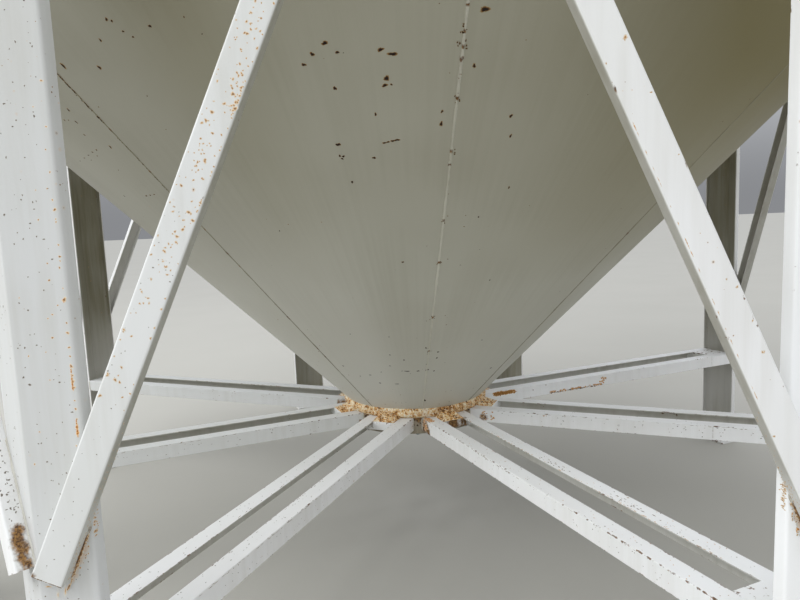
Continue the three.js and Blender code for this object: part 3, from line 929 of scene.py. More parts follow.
def bead(path, out, half_width=0.0045, half_height=0.0024, closed=False, ripple=0.012, wander=0.0006):
    """An ellipse round each point of the path, spanned by the outward direction and by the direction
    across it. Its size is 1 + 0.14 cos(2 pi s / ripple) + a smooth chance value, where s is the length
    along the path."""
    out = np.broadcast_to(out, path.shape)
    ahead = np.roll(path, -1, 0) - np.roll(path, 1, 0) if closed else np.gradient(path, axis=0)
    across = np.cross(ahead / np.linalg.norm(ahead, axis=1)[:, None], out)
    across /= np.linalg.norm(across, axis=1)[:, None]
    s = np.concatenate([[0], np.cumsum(np.linalg.norm(np.diff(path, axis=0), axis=1))])
    window = np.hanning(9)
    loose, side = (np.convolve(chance.normal(size=len(path) + 16), window / window.sum(), "same")[8:-8]
                   for _ in range(2))
    size = 1 + 0.14 * np.cos(2 * np.pi * s / ripple) + 0.35 * loose
    if not closed:
        size[[0, -1]] *= 0.35
    around = (np.arange(BEAD_SIDES) * 2 * np.pi / BEAD_SIDES)[None, :, None]
    middle = path + across * (side * wander)[:, None]
    rings = middle[:, None] + size[:, None, None] * (np.cos(around) * half_width * across[:, None]
                                                     + np.sin(around) * half_height * out[:, None])
    part = carried(rings, closed=closed)
    part["edge"] = np.repeat(np.clip(0.62 + 0.5 * loose, 0, 1), BEAD_SIDES)
    return part


def on_cone(azimuth, height, lift=0.0):
    """Points on the cone's outside, and the directions straight out of it there, from degrees and
    metres."""
    a, slope = np.radians(azimuth), atan(CONE_RATE)
    out = polar(cos(slope), a, -sin(slope))
    return polar(cone_radius(height) - SWELL, a, height) + out * lift, out


def level_bead(radius, height, half_width=0.005, half_height=0.0024, segments=720):
    """A bead once round the silo."""
    a = np.arange(segments) * 2 * np.pi / segments
    return bead(polar(radius, a, height), polar(1, a, 0), half_width, half_height, closed=True, ripple=0.056)


height = stations(COLLAR_TOP + 0.004, WALL_BOTTOM - 0.004, 0.004)
for seam, name, finish, size in ((FRONT_SEAM, "cone_front_seam_bead", SEAM, (0.0042, 0.0036)),
                                 (LEFT_SEAM, "cone_left_seam_bead", DULL_SEAM, (0.0030, 0.0014))):
    rusty = [(*point, 0.012) for point in on_cone(seam, RUSTY_HEIGHTS)[0]]
    piece(name, [bead(*on_cone(seam, height), *size)], finish, (), rusty, weighted=False)
beads = [bead(*on_cone(seam, height), 0.0036, 0.0022) for seam in seams[2:-1]]
piece("cone_seam_beads", beads, DULL_SEAM, weighted=False)

level = [level_bead(WALL_RADIUS, WALL_BOTTOM)]
level += [level_bead(WALL_RADIUS - DIP, WALL_BOTTOM + course * COURSE) for course in range(1, COURSES)]
level += [level_bead(radius, z, 0.005, 0.005) for radius, z in (
    (WALL_RADIUS, RING_BOTTOM), (WALL_RADIUS, RING_BOTTOM + RING_HEIGHT), (WALL_RADIUS + 0.001, EAVE))]
piece("wall_level_beads", level, HIGH, weighted=False)

upright = []
for course in range(COURSES):
    height = stations(WALL_BOTTOM + course * COURSE + 0.01, WALL_BOTTOM + (course + 1) * COURSE - 0.01, 0.008)
    for quarter in range(4):
        a = radians(45 + 90 * quarter + (27 if course == 1 else 0))
        upright.append(bead(polar(WALL_RADIUS, a, height), polar(1, a, 0), ripple=0.024))
piece("wall_upright_beads", upright, HIGH, weighted=False)

radius = stations(NECK_RADIUS + 0.006, WALL_RADIUS + OVERHANG - 0.01, 0.008)
roof_beads = [bead(polar(radius, a, roof_height(radius) + thick),
                   polar(ROOF_RISE, a, 1) / hypot(1, ROOF_RISE), ripple=0.024)
              for a in np.arange(12) * np.pi / 6 + radians(15)]
roof_beads.append(level_bead(NECK_RADIUS + 0.001, roof_height(NECK_RADIUS) + thick, 0.006, 0.006, 220))
piece("roof_beads", roof_beads, GREYED, weighted=False)

# %% Fillets on the legs, feet and braces
BRACE_INNER = BRACE_WIDTH * ACROSS
LEG_SIDE = 0.760


def straight(start, end, step=0.006):
    """A path between two points."""
    start, end = np.array(start, float), np.array(end, float)
    return start + (end - start) * stations(0, 1, step / np.linalg.norm(end - start))[:, None]


fillets = []
hoop = sqrt(COLLAR_OUTER ** 2 - SPOKE_HALF ** 2)
for number in range(1, BAYS + 1):
    for side in (-1, 1):
        outer, lip = side * SPOKE_HALF, side * (SPOKE_HALF - 0.001)
        for start, end, out in (
                ((outer, -LIP_END, FOOT_PLATE), (outer, -LEG_BEND + 0.004, FOOT_PLATE), (side, 0, 0)),
                ((side * (SPOKE_HALF - LEG_WALL), -LEG_BEND - 0.006, FOOT_PLATE),
                 (side * 0.004, -LEG_APEX + 0.001, FOOT_PLATE), (0, -1, 0)),
                ((lip, -LIP_END, 0.539), (lip, -LIP_END, 0.598), (side, 0, 0)),
                ((outer, -hoop, 0.538), (outer, -hoop, 0.597), (side, 0, 0))):
            fillets.append(swung(bead(straight(start, end), out, 0.004, 0.004), leg_azimuth(number)))
for bay in range(1, BAYS + 1):
    for side in SIDE_NAMES:
        for off, low in ((BRACE_INNER + 0.001, BRACE_FOOT + 0.004), (-0.001, BRACE_FOOT + 0.030)):
            high = SPOKE_TOP + (BRACE_OUTER - off - LEG_SIDE) / BRACE_SLOPE
            path = straight(*[(side * brace_x(z, off), -BAY_PLANE, z) for z in (low, high)])
            fillets.append(swung(bead(path, (0, -1, 0), 0.0035, 0.0035), BETWEEN * (bay - 1)))
        path = straight((side * 0.020, -BAY_PLANE - 0.021, RING_BOTTOM), (side * 0.002, -BAY_PLANE - 0.040,
                        RING_BOTTOM))
        fillets.append(swung(bead(path, (0, 0, -1), 0.003, 0.003), BETWEEN * (bay - 1)))
bad = [(-0.790, -2.143, 0.89, 0.085), (-0.825, -2.143, 0.83, 0.05), (0.790, -2.143, 0.89, 0.085)]
piece("steelwork_fillets", fillets, WELD, (), bad, weighted=False)

# %% [markdown]
# ## Anchors
#
# Each foot is held down by studs in the ground, of which a washer, a nut and the stud's end show. They
# are hexagons and short turned shapes in galvanised steel, small enough to be simple.

# %% Anchors
WASHER = ((0.0165, 0.012), (0.017, 0.0125), (0.017, 0.0145), (0.0163, 0.0151))
STUD = ((0.008, 0.012), (0.008, 0.0400), (0.0066, 0.0415))

anchors = [swung(part, leg_azimuth(number))
           for number in range(1, BAYS + 1) for x in (-0.092, 0.092) for y in (-2.185, -2.372)
           for part in (small_solid(20, WASHER, x, y), hexagon(0.0139, 0.0151, 0.0285, x, y),
                        small_solid(20, STUD, x, y))]
piece("foot_anchors", anchors, ZINC, weighted=False)
print("anchors:", len(anchors) // 3)

# %% [markdown]
# ## Rust spots on the cone and braces
#
# The spots that the eye finds first sit in known places: groups of dark crusts with orange rims high on
# the cone, a scatter of small ones low down, and freckles in bunches on the braces. Each is a low crust
# of its own: rings of points around a middle, pushed out of round. One formula makes all crusts of a
# piece at once.

# %% Crusts
FORWARD, SIDEWAYS, UPWARD = np.array([[0.0, -1.0, 0.0], [1.0, 0.0, 0.0], [0.0, 0.0, 1.0]])
LEVELS = np.array([0.02, 0.34, 0.62, 0.84, 1.0, 0.02])
LIFT = np.array([1.0, 0.85, 0.35, 0.12, -0.15, -0.4])
FEW, FULL_SIZE, TO_DEGREES = 90, 0.006, 57.3


def crusts(name, middles, out, along, sizes, dome, finish, fade=0.0, slot="white_paint"):
    """Low domes. In the plane of along and across, ring k has radius size * level * (1 + 0.22 sin(2a + p)
    + 0.16 sin(3a + q) + 0.1 sin(5a + r)), and the height over it falls from the dome's to just under the
    paint. The number rim is the level, plus a chance value up to fade for each crust, which pales its
    middle. A crust that is repeated often is small and has fewer points round it."""
    count = len(middles)
    steps = 12 if count < FEW else 8
    out, along = np.broadcast_to(out, middles.shape), np.broadcast_to(along, middles.shape)
    across = np.cross(out, along)
    a = np.arange(steps) * 2 * np.pi / steps
    p, q, r = chance.uniform(0, 2 * np.pi, (3, count, 1))
    shape = 1 + 0.22 * np.sin(2 * a + p) + 0.16 * np.sin(3 * a + q) + 0.1 * np.sin(5 * a + r)
    radial = shape[:, None, :] * LEVELS[None, :, None]
    u = (radial * np.cos(a))[..., None] * (along * sizes[:, :1])[:, None, None]
    v = (radial * np.sin(a))[..., None] * (across * sizes[:, 1:])[:, None, None]
    w = (LIFT * dome)[None, :, None, None] * out[:, None, None]
    points = middles[:, None, None] + u + v + w * np.minimum(1, sizes.max(1) / FULL_SIZE)[:, None, None, None]
    rim = (np.repeat(LEVELS, steps)[None] + fade * chance.uniform(0, 1, (count, 1))).ravel()
    return piece(name, [carried(rings) for rings in points], finish, extra={"rim": rim}, weighted=False)


def cone_crusts(name, azimuth, height, sizes, dome=0.0011, finish=CONE_RUST, lift=0.0):
    """Crusts on the cone, their length lying level."""
    middles, out = on_cone(azimuth, height, lift)
    level = polar(1, np.radians(azimuth + 90), 0)
    crusts(name, middles, out, level, sizes, dome, finish, slot="hopper_paint")


# Azimuth in degrees, height in metres, length and breadth in millimetres, as they lie on the cone
CONE_SPOTS = np.array([
    (-7.6, 2.030, 14, 7), (-8.9, 2.010, 11, 6), (-9.9, 1.990, 10, 6), (-6.7, 2.010, 9, 6),
    (-6.2, 2.008, 4, 3), (-3.0, 2.010, 14, 6), (-2.0, 2.000, 19, 7), (-2.7, 1.950, 15, 8),
    (-2.9, 1.935, 13, 6), (-2.3, 1.936, 5, 4), (-7.6, 1.935, 8, 8), (-8.6, 1.800, 12, 7),
    (-8.8, 1.800, 7, 6), (-8.8, 1.770, 8, 5), (-8.4, 1.768, 9, 5), (-8.6, 1.762, 7, 5),
    (-4.9, 1.760, 9, 6), (-8.1, 1.695, 9, 6), (-3.5, 1.798, 10, 4), (-3.1, 1.800, 8, 4),
    (-2.6, 1.802, 9, 5), (-2.1, 1.804, 14, 5), (-4.1, 1.870, 6, 6), (2.6, 1.870, 6, 6),
    (2.6, 1.840, 9, 8), (9.9, 1.855, 8, 8), (10.5, 1.805, 7, 7), (12.4, 1.660, 6, 6),
    (9.2, 1.570, 7, 5), (5.2, 1.970, 8, 7), (5.4, 2.080, 17, 10), (-21.8, 1.550, 8, 6),
    (-2.5, 1.420, 7, 6), (15.2, 1.330, 6, 6), (-35.1, 2.065, 8, 15), (-30.6, 2.043, 11, 7),
    (-41.1, 1.971, 8, 7), (-42.0, 1.938, 6, 9), (-44.1, 1.951, 6, 4), (-43.1, 1.902, 6, 5),
    (-40.2, 1.856, 8, 7), (-52.7, 1.840, 12, 3), (-49.9, 1.844, 12, 3), (-47.6, 1.848, 14, 3),
    (-45.6, 1.853, 10, 3), (-44.0, 1.856, 8, 4), (-45.4, 1.840, 6, 3), (-48.4, 1.833, 7, 3),
    (-51.0, 1.705, 8, 7), (-43.6, 1.696, 14, 3), (-42.3, 1.697, 12, 3), (-41.1, 1.698, 8, 3),
    (-25.8, 2.130, 8, 6), (-25.4, 2.125, 7, 4), (-25.0, 2.102, 6, 4), (-24.4, 2.088, 5, 4),
    (-22.1, 2.102, 8, 6), (-28.0, 2.095, 7, 5), (-27.5, 1.963, 4, 3), (-18.6, 2.108, 4, 3),
    (-43.2, 1.948, 5, 3), (-56.2, 1.791, 5, 3), (-43.8, 1.788, 4, 3)])
LOW_MARKS = np.array([
    (4.7, 0.704, 9, 9), (-19.6, 1.104, 5, 4), (-8.2, 1.089, 5, 4), (-9.4, 0.992, 5, 5),
    (-4.8, 0.962, 6, 4), (-31.6, 0.916, 6, 4), (-10.6, 0.929, 6, 4), (-26.6, 0.860, 5, 4),
    (-21.1, 0.871, 11, 3), (-15.2, 0.892, 5, 4), (-6.2, 0.898, 5, 4), (-4.2, 0.896, 15, 4),
    (0.4, 0.895, 7, 5), (-18.3, 0.822, 6, 5), (-9.9, 0.818, 13, 3), (7.2, 0.998, 5, 5),
    (7.2, 0.965, 5, 5), (7.1, 0.890, 5, 4), (2.9, 1.024, 4, 6), (3.7, 1.002, 4, 6), (4.0, 0.962, 5, 7),
    (3.8, 0.934, 5, 6), (4.1, 0.899, 8, 9), (21.5, 1.042, 6, 4), (37.2, 0.858, 7, 5)])

# The lists hold whole lengths; a crust's size is half of that, and grows where its ragged rim eats into it
for name, table, growth, finish in (("cone_rust_spots", CONE_SPOTS, (1.45, 2.1), CONE_RUST),
                                    ("cone_low_marks", LOW_MARKS, (1.8, 2.1), MARK)):
    cone_crusts(name, table[:, 0], table[:, 1], table[:, 2:] * 0.0005 * np.array(growth), finish=finish)

# Small dark pits, more of them low down near the outlet
count = 150
azimuth = chance.uniform(-75, 75, count)
height = 0.66 + 1.5 * chance.beta(0.9, 1.5, count)
cone_crusts("cone_small_pits", azimuth, height,
            chance.uniform(0.0010, 0.0025, (count, 1)) * (1.5, 1.0), 0.0005)

# Nodules on the front seam
height = np.repeat(RUSTY_HEIGHTS[1:], 6)
height = height + chance.normal(0, 0.008, len(height))
azimuth = FRONT_SEAM + chance.normal(0, 0.007, len(height)) / cone_radius(height) * TO_DEGREES
cone_crusts("front_seam_nodules", azimuth, height, chance.uniform(0.0018, 0.0038, (len(height), 2)), 0.002,
            lift=0.0012)

# Rust creeping along the left seam: thick and brown high up, dark dashes lower down
height = np.concatenate([chance.uniform(1.92, 2.10, 70), chance.uniform(1.62, 1.92, 55)])
azimuth = LEFT_SEAM + chance.normal(0, 0.0012, len(height)) / cone_radius(height) * TO_DEGREES
middles, out = on_cone(azimuth, height, 0.0008)
way = polar(CONE_RATE, radians(LEFT_SEAM), 1.0) / hypot(1, CONE_RATE)
growth = np.where(height > 1.92, 1.3, 0.9)[:, None]
size = chance.uniform(0.0018, 0.0034, (len(height), 2)) * growth * (2.2, 1.0)
crusts("left_seam_rust", middles, out, way, size, 0.0008, CONE_RUST, slot="hopper_paint")
print("listed spots on the cone:", len(CONE_SPOTS) + len(LOW_MARKS))

# %% Freckles on the front braces and legs
def on_bay(x, z, outwards=0.0):
    """Points in front of the front bay's plane. The braces' faces lie their depth in front of it."""
    return xyz(x, -BAY_PLANE - outwards, z)


def brace_freckles(side, bunches):
    """Spots scattered about the middles of bunches, each given as height, distance across, spread in
    millimetres and number."""
    z, w, spread = np.repeat(np.array(bunches)[:, :3], [bunch[3] for bunch in bunches], axis=0).T
    z = z + chance.normal(0, 1, len(z)) * spread / 1000 * 1.3
    w = np.clip((w + chance.normal(0, 1, len(z)) * spread * 0.8) / 1000, 0.008, BRACE_WIDTH - 0.006)
    sizes = (0.0013 + 0.0034 * chance.beta(1.0, 2.6, (len(z), 1))) * chance.uniform(0.8, 1.25, (len(z), 2))
    middles = on_bay(side * brace_x(z, w * ACROSS), z, BRACE_DEPTH)
    crusts(f"brace_1_{SIDE_NAMES[side]}_freckles", middles, FORWARD, SIDEWAYS, sizes * 1.3, 0.0003, FRECKLE,
           0.25)


brace_freckles(LEFT_BAY, [(1.87, 45, 14, 18), (1.82, 62, 12, 24), (1.80, 32, 16, 14), (1.73, 34, 12, 12),
                          (1.70, 40, 12, 14), (1.60, 55, 12, 10), (1.55, 36, 14, 12), (1.50, 34, 12, 8),
                          (1.45, 30, 14, 10), (1.95, 34, 12, 14), (1.99, 45, 16, 12), (1.25, 50, 20, 7),
                          (1.65, 50, 60, 30), (1.90, 35, 60, 20), (1.35, 40, 80, 16)])
brace_freckles(RIGHT_BAY, [(1.905, 13, 2, 2), (1.80, 7, 2, 1), (1.52, 34, 2, 1), (1.426, 24, 2, 1),
                           (1.409, 9, 2, 1), (1.275, 9, 2, 1), (1.272, 19, 2, 1), (1.094, 60, 2, 1),
                           (1.60, 40, 300, 5)])

# Spots on the faces of the two front legs: across from the middle, height and size, all in millimetres.
# They stay on the flat of the face, short of the bend at its edge
LEG_SPOTS = [
    (-803, 1665, 4), (-779, 1667, 4), (-771, 1644, 6), (-763, 1624, 8), (-764, 1605, 6),
    (-765, 1599, 5), (-804, 1605, 5), (-767, 1552, 6), (-763, 1528, 6), (-764, 1519, 5),
    (-795, 1515, 5), (-771, 1505, 5), (-795, 1480, 6), (-765, 1462, 5), (-762, 1438, 11),
    (-783, 1427, 5), (-796, 1408, 6), (-806, 1400, 5), (-765, 1389, 5), (-765, 1368, 8),
    (-801, 1359, 6), (-764, 1337, 7), (-818, 1329, 4), (-763, 1318, 5), (-762, 1297, 9),
    (-763, 1277, 8), (-763, 1263, 11), (-763, 1250, 9), (-763, 1204, 7), (-762, 1222, 6),
    (-762, 1181, 7), (-775, 1123, 6), (-861, 1446, 5), (-868, 1086, 6), (-850, 1157, 5),
    (-816, 1269, 4), (-855, 1322, 6), (-770, 1700, 6), (-774, 1745, 5), (-766, 1790, 6),
    (-790, 1830, 5), (-768, 1880, 7), (800, 1505, 9), (790, 1590, 5), (797, 1600, 5), (807, 1900, 6),
    (790, 1440, 5), (790, 1408, 5), (796, 1388, 7), (812, 1383, 6), (788, 1358, 5), (806, 1300, 6),
    (800, 1238, 11), (794, 1228, 7), (790, 1212, 6), (812, 1190, 7), (803, 1252, 6), (798, 1330, 4),
    (810, 1275, 4)]
FACE_EDGE, FACE_WIDTH = LEG_APEX * sin(MITRE), SPOKE_HALF / cos(MITRE)
FLAT_EDGE = FACE_EDGE - FACE_WIDTH + 0.009
print("the leg's flat face starts", round(FLAT_EDGE, 4), "m from the middle of the bay")


def clear_of_bend(x, edge=FLAT_EDGE):
    """The same places across, none nearer to the bay's middle than the edge of the leg's flat."""
    return np.sign(x) * np.maximum(np.abs(x), edge)


x, z, size = np.array(LEG_SPOTS).T / 1000
sizes = size[:, None] * 0.55 * chance.uniform(0.85, 1.2, (len(x), 2))
crusts("leg_face_spots", on_bay(clear_of_bend(x), z, -0.0003), FORWARD, SIDEWAYS, sizes, 0.0004, FRECKLE,
       0.25)

# Dark specks all over the left front leg, on both of its half faces, and on the lower half of its brace
count = 240
x = FACE_EDGE - (FACE_WIDTH - 0.012) * chance.uniform(0.06, 1, count)
middles = on_bay(x, 0.62 + 1.5 * chance.beta(1.0, 1.2, count), -0.0002)
other = (np.arange(count) % 3 == 0)[:, None]
crusts("leg_8_dark_specks", np.where(other, turn(middles, -BETWEEN), middles * (-1, 1, 1)),
       np.where(other, turn(FORWARD, -BETWEEN), FORWARD), UPWARD,
       chance.uniform(0.0011, 0.0034, (count, 1)) * chance.uniform(0.7, 1.3, (count, 2)), 0.0003, SPECK, 0.25)
count = 44
z = 0.87 + 0.75 * chance.beta(1.1, 1.0, count)
w = chance.uniform(0.006, BRACE_WIDTH - 0.006, count)
crusts("brace_1_left_dark_specks", on_bay(-brace_x(z, w * ACROSS), z, BRACE_DEPTH), FORWARD, UPWARD,
       chance.uniform(0.0008, 0.0024, (count, 1)) * chance.uniform(0.7, 1.3, (count, 2)), 0.0003, SPECK, 0.4)

# %% Rust at the feet of the front braces
ALONG_BRACE = xyz(-BRACE_SLOPE, 0, 1) / ACROSS


def foot_rust(side):
    """Along the weld under the brace's inner flange, at x = side * (inner edge - slope * height): dark
    crusts on the weld, freckles that thin out over the leg, and freckles on the flange, whose outward
    direction is (-side, 0, -slope) / sqrt(1 + slope^2)."""
    z = chance.uniform(0.795, 0.925, 46)
    weld = on_bay(side * (brace_x(z, BRACE_INNER) - 0.002 - np.abs(chance.normal(0, 0.0022, 46))), z, 0.0022)
    z = 0.80 + 0.23 * chance.beta(1.6, 1.1, 60)
    face = on_bay(side * (brace_x(z, BRACE_INNER) - 0.004 - chance.exponential(0.010, 60)), z)
    face = face[np.abs(face[:, 0]) > FLAT_EDGE]
    z = 0.83 + 0.36 * chance.beta(0.9, 1.6, 70)
    flange = on_bay(side * brace_x(z, BRACE_INNER), z, BRACE_DEPTH * chance.beta(1.1, 1.4, 70) * 0.9)
    under, along = xyz(-side, 0, -BRACE_SLOPE) / ACROSS, ALONG_BRACE * (side, 1, 1)
    counts = [len(weld), len(face), len(flange)]
    sizes = 0.0015 + 0.0038 * chance.beta(1.0, 2.4, (sum(counts), 2))
    sizes[:len(weld), 0] += chance.uniform(0.001, 0.006, len(weld))
    return (np.concatenate([weld, face, flange]), np.repeat([FORWARD, FORWARD, under], counts, axis=0),
            np.repeat([along, SIDEWAYS, along], counts, axis=0), sizes)


left, right = foot_rust(LEFT_BAY), foot_rust(RIGHT_BAY)
crusts("brace_foot_rust", *[np.concatenate(pair) for pair in zip(left, right)], 0.0008, FRECKLE, 0.12)

# A dark line along each front brace's foot, painted shade of the gap under its cut end, stains that have run
# down from it, and a blob of weld spatter
w = chance.uniform(0.002, BRACE_WIDTH - 0.002, 60)
side = np.repeat([LEFT_BAY, RIGHT_BAY], 30)
z = BRACE_FOOT + (BRACE_WIDTH - w) * BRACE_SLOPE / ACROSS
crusts("brace_foot_painted_shadow_lines", on_bay(side * brace_x(z, w * ACROSS), z + 0.0012, BRACE_DEPTH), FORWARD,
       xyz(side, 0, BRACE_SLOPE) / ACROSS, chance.uniform(0.6, 1.3, (60, 2)) * (0.0042, 0.0011), 0.0003,
       SCRATCH)
listed = np.array([(-849, 786, 4, 16), (-832, 794, 4, 18), (-868, 806, 8, 3), (-840, 812, 9, 3)]) / 1000
crusts("brace_foot_runs", on_bay(listed[:, 0], listed[:, 1]), FORWARD, SIDEWAYS, listed[:, 2:], 0.0002,
       FRECKLE, 0.5)
crusts("brace_foot_spatter", polar(LEG_APEX, -MITRE, 0.834)[None], polar(1, -MITRE, 0),
       xyz(cos(MITRE), -sin(MITRE), 0), np.array([[0.009, 0.013]]), 0.006, SPATTER)

# Larger orange blotches: across, height, length and breadth in millimetres, on the legs' front faces
BLOTCHES = [
    (-760, 1160, 15, 19), (-757, 1178, 7, 8), (-764, 1146, 7, 6), (-763, 1262, 9, 26),
    (-764, 1290, 7, 12), (-763, 1436, 8, 9), (786, 868, 12, 26), (794, 848, 12, 22), (774, 896, 9, 26)]
listed = np.repeat(np.array(BLOTCHES) / 1000, 9, axis=0)
x, z = (listed[:, :2] + chance.normal(0, 0.30, (len(listed), 2)) * listed[:, 2:]).T
crusts("orange_blotches", on_bay(clear_of_bend(x, FLAT_EDGE + 0.001), z, -0.0001), FORWARD, SIDEWAYS,
       listed[:, 2:] * chance.uniform(0.12, 0.36, (len(listed), 2)), 0.0005, BLOTCH, 0.2)

# Dark specks on the outer flange of the right brace in the bay on the left
count = 80
z, deep = 0.94 + 0.46 * chance.beta(1.0, 1.5, count), BRACE_DEPTH * chance.uniform(0.15, 0.85, count)
crusts("brace_8_dark_specks", turn(on_bay(brace_x(z), z, deep), -BETWEEN),
       turn(xyz(1, 0, BRACE_SLOPE) / ACROSS, -BETWEEN), turn(ALONG_BRACE, -BETWEEN),
       chance.uniform(0.0011, 0.0038, (count, 2)), 0.0005, SPECK, 0.1)

# Rust that has bled into the paint beside the welds, and a thin orange line on the right brace's inner edge
z = np.tile(np.linspace(0.825, 0.895, 10), 2)
side = np.repeat([LEFT_BAY, RIGHT_BAY], 10)
crusts("brace_foot_bleeding", on_bay(side * (brace_x(z, BRACE_INNER) - 0.004), z, 0.0003), FORWARD,
       xyz(-side * BRACE_SLOPE, 0, 1) / ACROSS, chance.uniform(0.6, 1.1, (20, 2)) * (0.014, 0.011), 0.0002,
       BLED)
z = 1.15 + 0.62 * chance.beta(1.0, 1.0, 34)
crusts("right_brace_orange_line", on_bay(brace_x(z, BRACE_INNER) + 0.0066, z, BRACE_DEPTH), FORWARD,
       ALONG_BRACE, chance.uniform(0.5, 1.3, (34, 2)) * (0.0065, 0.0010), 0.0002, BLOTCH, 0.35)

# %% Marks on the spokes and the collar
def on_spokes(rows):
    """Places for crusts. Each row, in millimetres in its spoke's or leg's own measure: its number, from
    and to across, away and in height, how many, their length and breadth. Rows at height 600 lie on the
    flanges' tops, rows 112 across on a web's inner side, and all others on its outer side."""
    places = []
    for number, x0, x1, y0, y1, z0, z1, count, length, breadth in rows:
        x, y, z = (chance.uniform(low, high, count) / 1000 for low, high in ((x0, x1), (y0, y1), (z0, z1)))
        side = np.sign(x0) * (-1 if abs(x0) == 112 else 1)
        out = UPWARD if z0 == z1 == 600 else side * SIDEWAYS
        ways = [np.broadcast_to(turn(way, leg_azimuth(number)), (count, 3)) for way in (out, FORWARD)]
        sizes = np.array([length, breadth]) / 2000 * chance.uniform(0.5, 1.3, (count, 2))
        places.append((turn(xyz(x, -y, z), leg_azimuth(number)), *ways, sizes))
    return [np.concatenate(group) for group in zip(*places)]


MARKS = [
    ("spoke_scratches", 0.0003, SCRATCH, 0.0, [
        (1, -118, -118, 850, 1270, 592, 597, 26, 17, 2.2), (1, -118, -118, 450, 2050, 594, 598, 24, 16, 1.0),
        (8, 118, 118, 450, 2050, 594, 598, 70, 22, 1.1), (8, 53, 62, 500, 2000, 600, 600, 30, 14, 2.5),
        (8, -62, -53, 900, 2000, 600, 600, 24, 14, 2.5), (7, 118, 118, 450, 2000, 594, 598, 40, 18, 1.5),
        (2, -118, -118, 450, 2000, 594, 598, 40, 18, 1.5), (6, 118, 118, 450, 1600, 545, 598, 20, 8, 2.5),
        (7, 118, 118, 500, 1900, 545, 595, 20, 6, 3), (1, -118, -118, 1000, 1900, 545, 590, 14, 4, 3),
        (1, 63, 92, 1060, 1240, 600, 600, 20, 13, 4), (1, 63, 92, 1470, 1700, 600, 600, 22, 13, 4),
        (2, -118, -118, 1420, 1420, 546, 546, 1, 7, 5), (2, -118, -118, 1510, 1510, 586, 586, 1, 6, 5),
        (2, -118, -118, 1463, 1463, 546, 598, 14, 1.6, 8), (2, -118, -118, 500, 1900, 550, 595, 22, 5, 3),
        (2, 112, 112, 1240, 1320, 562, 583, 8, 20, 8), (3, -118, -118, 2056, 2056, 546, 598, 14, 1.6, 8),
        (3, -118, -118, 681, 681, 575, 575, 1, 11, 8), (3, -118, -118, 769, 769, 592, 592, 1, 9, 7),
        (3, -118, -118, 800, 1180, 537, 543, 60, 20, 5), (8, 118, 118, 500, 1900, 545, 595, 16, 4, 3)]),
    ("spoke_orange_rust", 0.0004, BLOTCH, 0.2, [
        (2, -118, -118, 390, 470, 548, 590, 22, 12, 8), (2, -118, -118, 708, 735, 586, 597, 5, 10, 6),
        (3, -118, -118, 800, 1190, 539, 549, 60, 20, 9), (3, -118, -118, 1150, 1200, 545, 590, 24, 12, 11),
        (8, 118, 118, 345, 365, 550, 590, 4, 8, 8), (1, 53, 59, 450, 1950, 600, 600, 70, 16, 2.5),
        (1, -116, -56, 450, 2000, 600, 600, 34, 6, 3), (1, 56, 116, 450, 2000, 600, 600, 34, 6, 3)]),
    ("spoke_bright_rust", 0.0005, AMBER, 0.3, [
        (1, -118, -118, 345, 400, 545, 596, 24, 15, 13), (1, -117, -90, 352, 425, 600, 600, 60, 15, 12)]),
    ("leg_side_freckles", 0.0003, FRECKLE, 0.1, [
        (1, -118, -118, 2248, 2262, 930, 1010, 26, 6, 3.5), (1, -118, -118, 2256, 2263, 905, 975, 34, 9, 4),
        (8, 118, 118, 2248, 2262, 930, 1020, 30, 6, 3.5), (8, 118, 118, 2256, 2263, 905, 985, 34, 9, 4)]),
    ("spoke_dark_specks", 0.0003, SPECK, 0.3, [
        (8, 56, 116, 420, 2050, 600, 600, 60, 6, 4), (8, -116, -56, 420, 2050, 600, 600, 60, 6, 4),
        (8, 118, 118, 420, 2050, 545, 596, 40, 5, 4), (7, 118, 118, 420, 2000, 545, 596, 30, 7, 5),
        (7, 56, 116, 420, 2000, 600, 600, 30, 7, 5), (1, -116, -56, 420, 2050, 600, 600, 50, 6, 4),
        (1, 56, 116, 420, 2050, 600, 600, 50, 6, 4), (1, -118, -118, 420, 2050, 545, 596, 30, 5, 4),
        (2, -118, -118, 420, 2000, 545, 596, 30, 7, 5), (2, -116, -56, 420, 2000, 600, 600, 30, 7, 5)]),
    ("spoke_golden_rust", 0.0004, GOLD, 0.0, [(3, -118, -118, 425, 560, 577, 593, 90, 26, 13)])]
for name, dome, finish, fade, rows in MARKS:
    crusts(name, *on_spokes(rows), dome, finish, fade)

# Dark crusts all over the collar's face: old rust, and painted shade for the dark slots between the spokes
count = 420
a, z = chance.uniform(0, 2 * np.pi, count), chance.uniform(0.536, 0.602, count)
crusts("collar_old_rust_and_painted_shade", polar(COLLAR_OUTER, a, z), polar(1, a, 0), polar(1, a + np.pi / 2, 0),
       chance.uniform(0.003, 0.009, (count, 2)), 0.0008, DARK_RUST_AND_SHADE, slot="rusted_paint")

# %% [markdown]
# ## Caked grain
#
# Grain that leaked at the outlet lies in the corner between the cone and the spokes. A band of it goes
# all round, and heaps lie on the shelves. The band and heaps are surfaces roughened by chance values at
# the size of a kernel. Loose kernels lie on them: one low ellipsoid repeated by whole arrays, each with
# its own turn, size and tone.

# %% Grain
HEAP_START = 0.352


def rough(shape, wide, seed):
    """Chance values on a grid that wraps along both sides, smoothed to a width in cells, about -1 to 1."""
    values = np.random.default_rng(seed).normal(size=shape)
    for axis, width in enumerate(wide):
        window = np.hanning(width + 2)[1:-1]
        values = np.apply_along_axis(lambda line: np.convolve(np.r_[line[-width:], line, line[:width]],
                                                              window / window.sum(), "same")[width:-width],
                                     axis, values)
    return values / values.std()


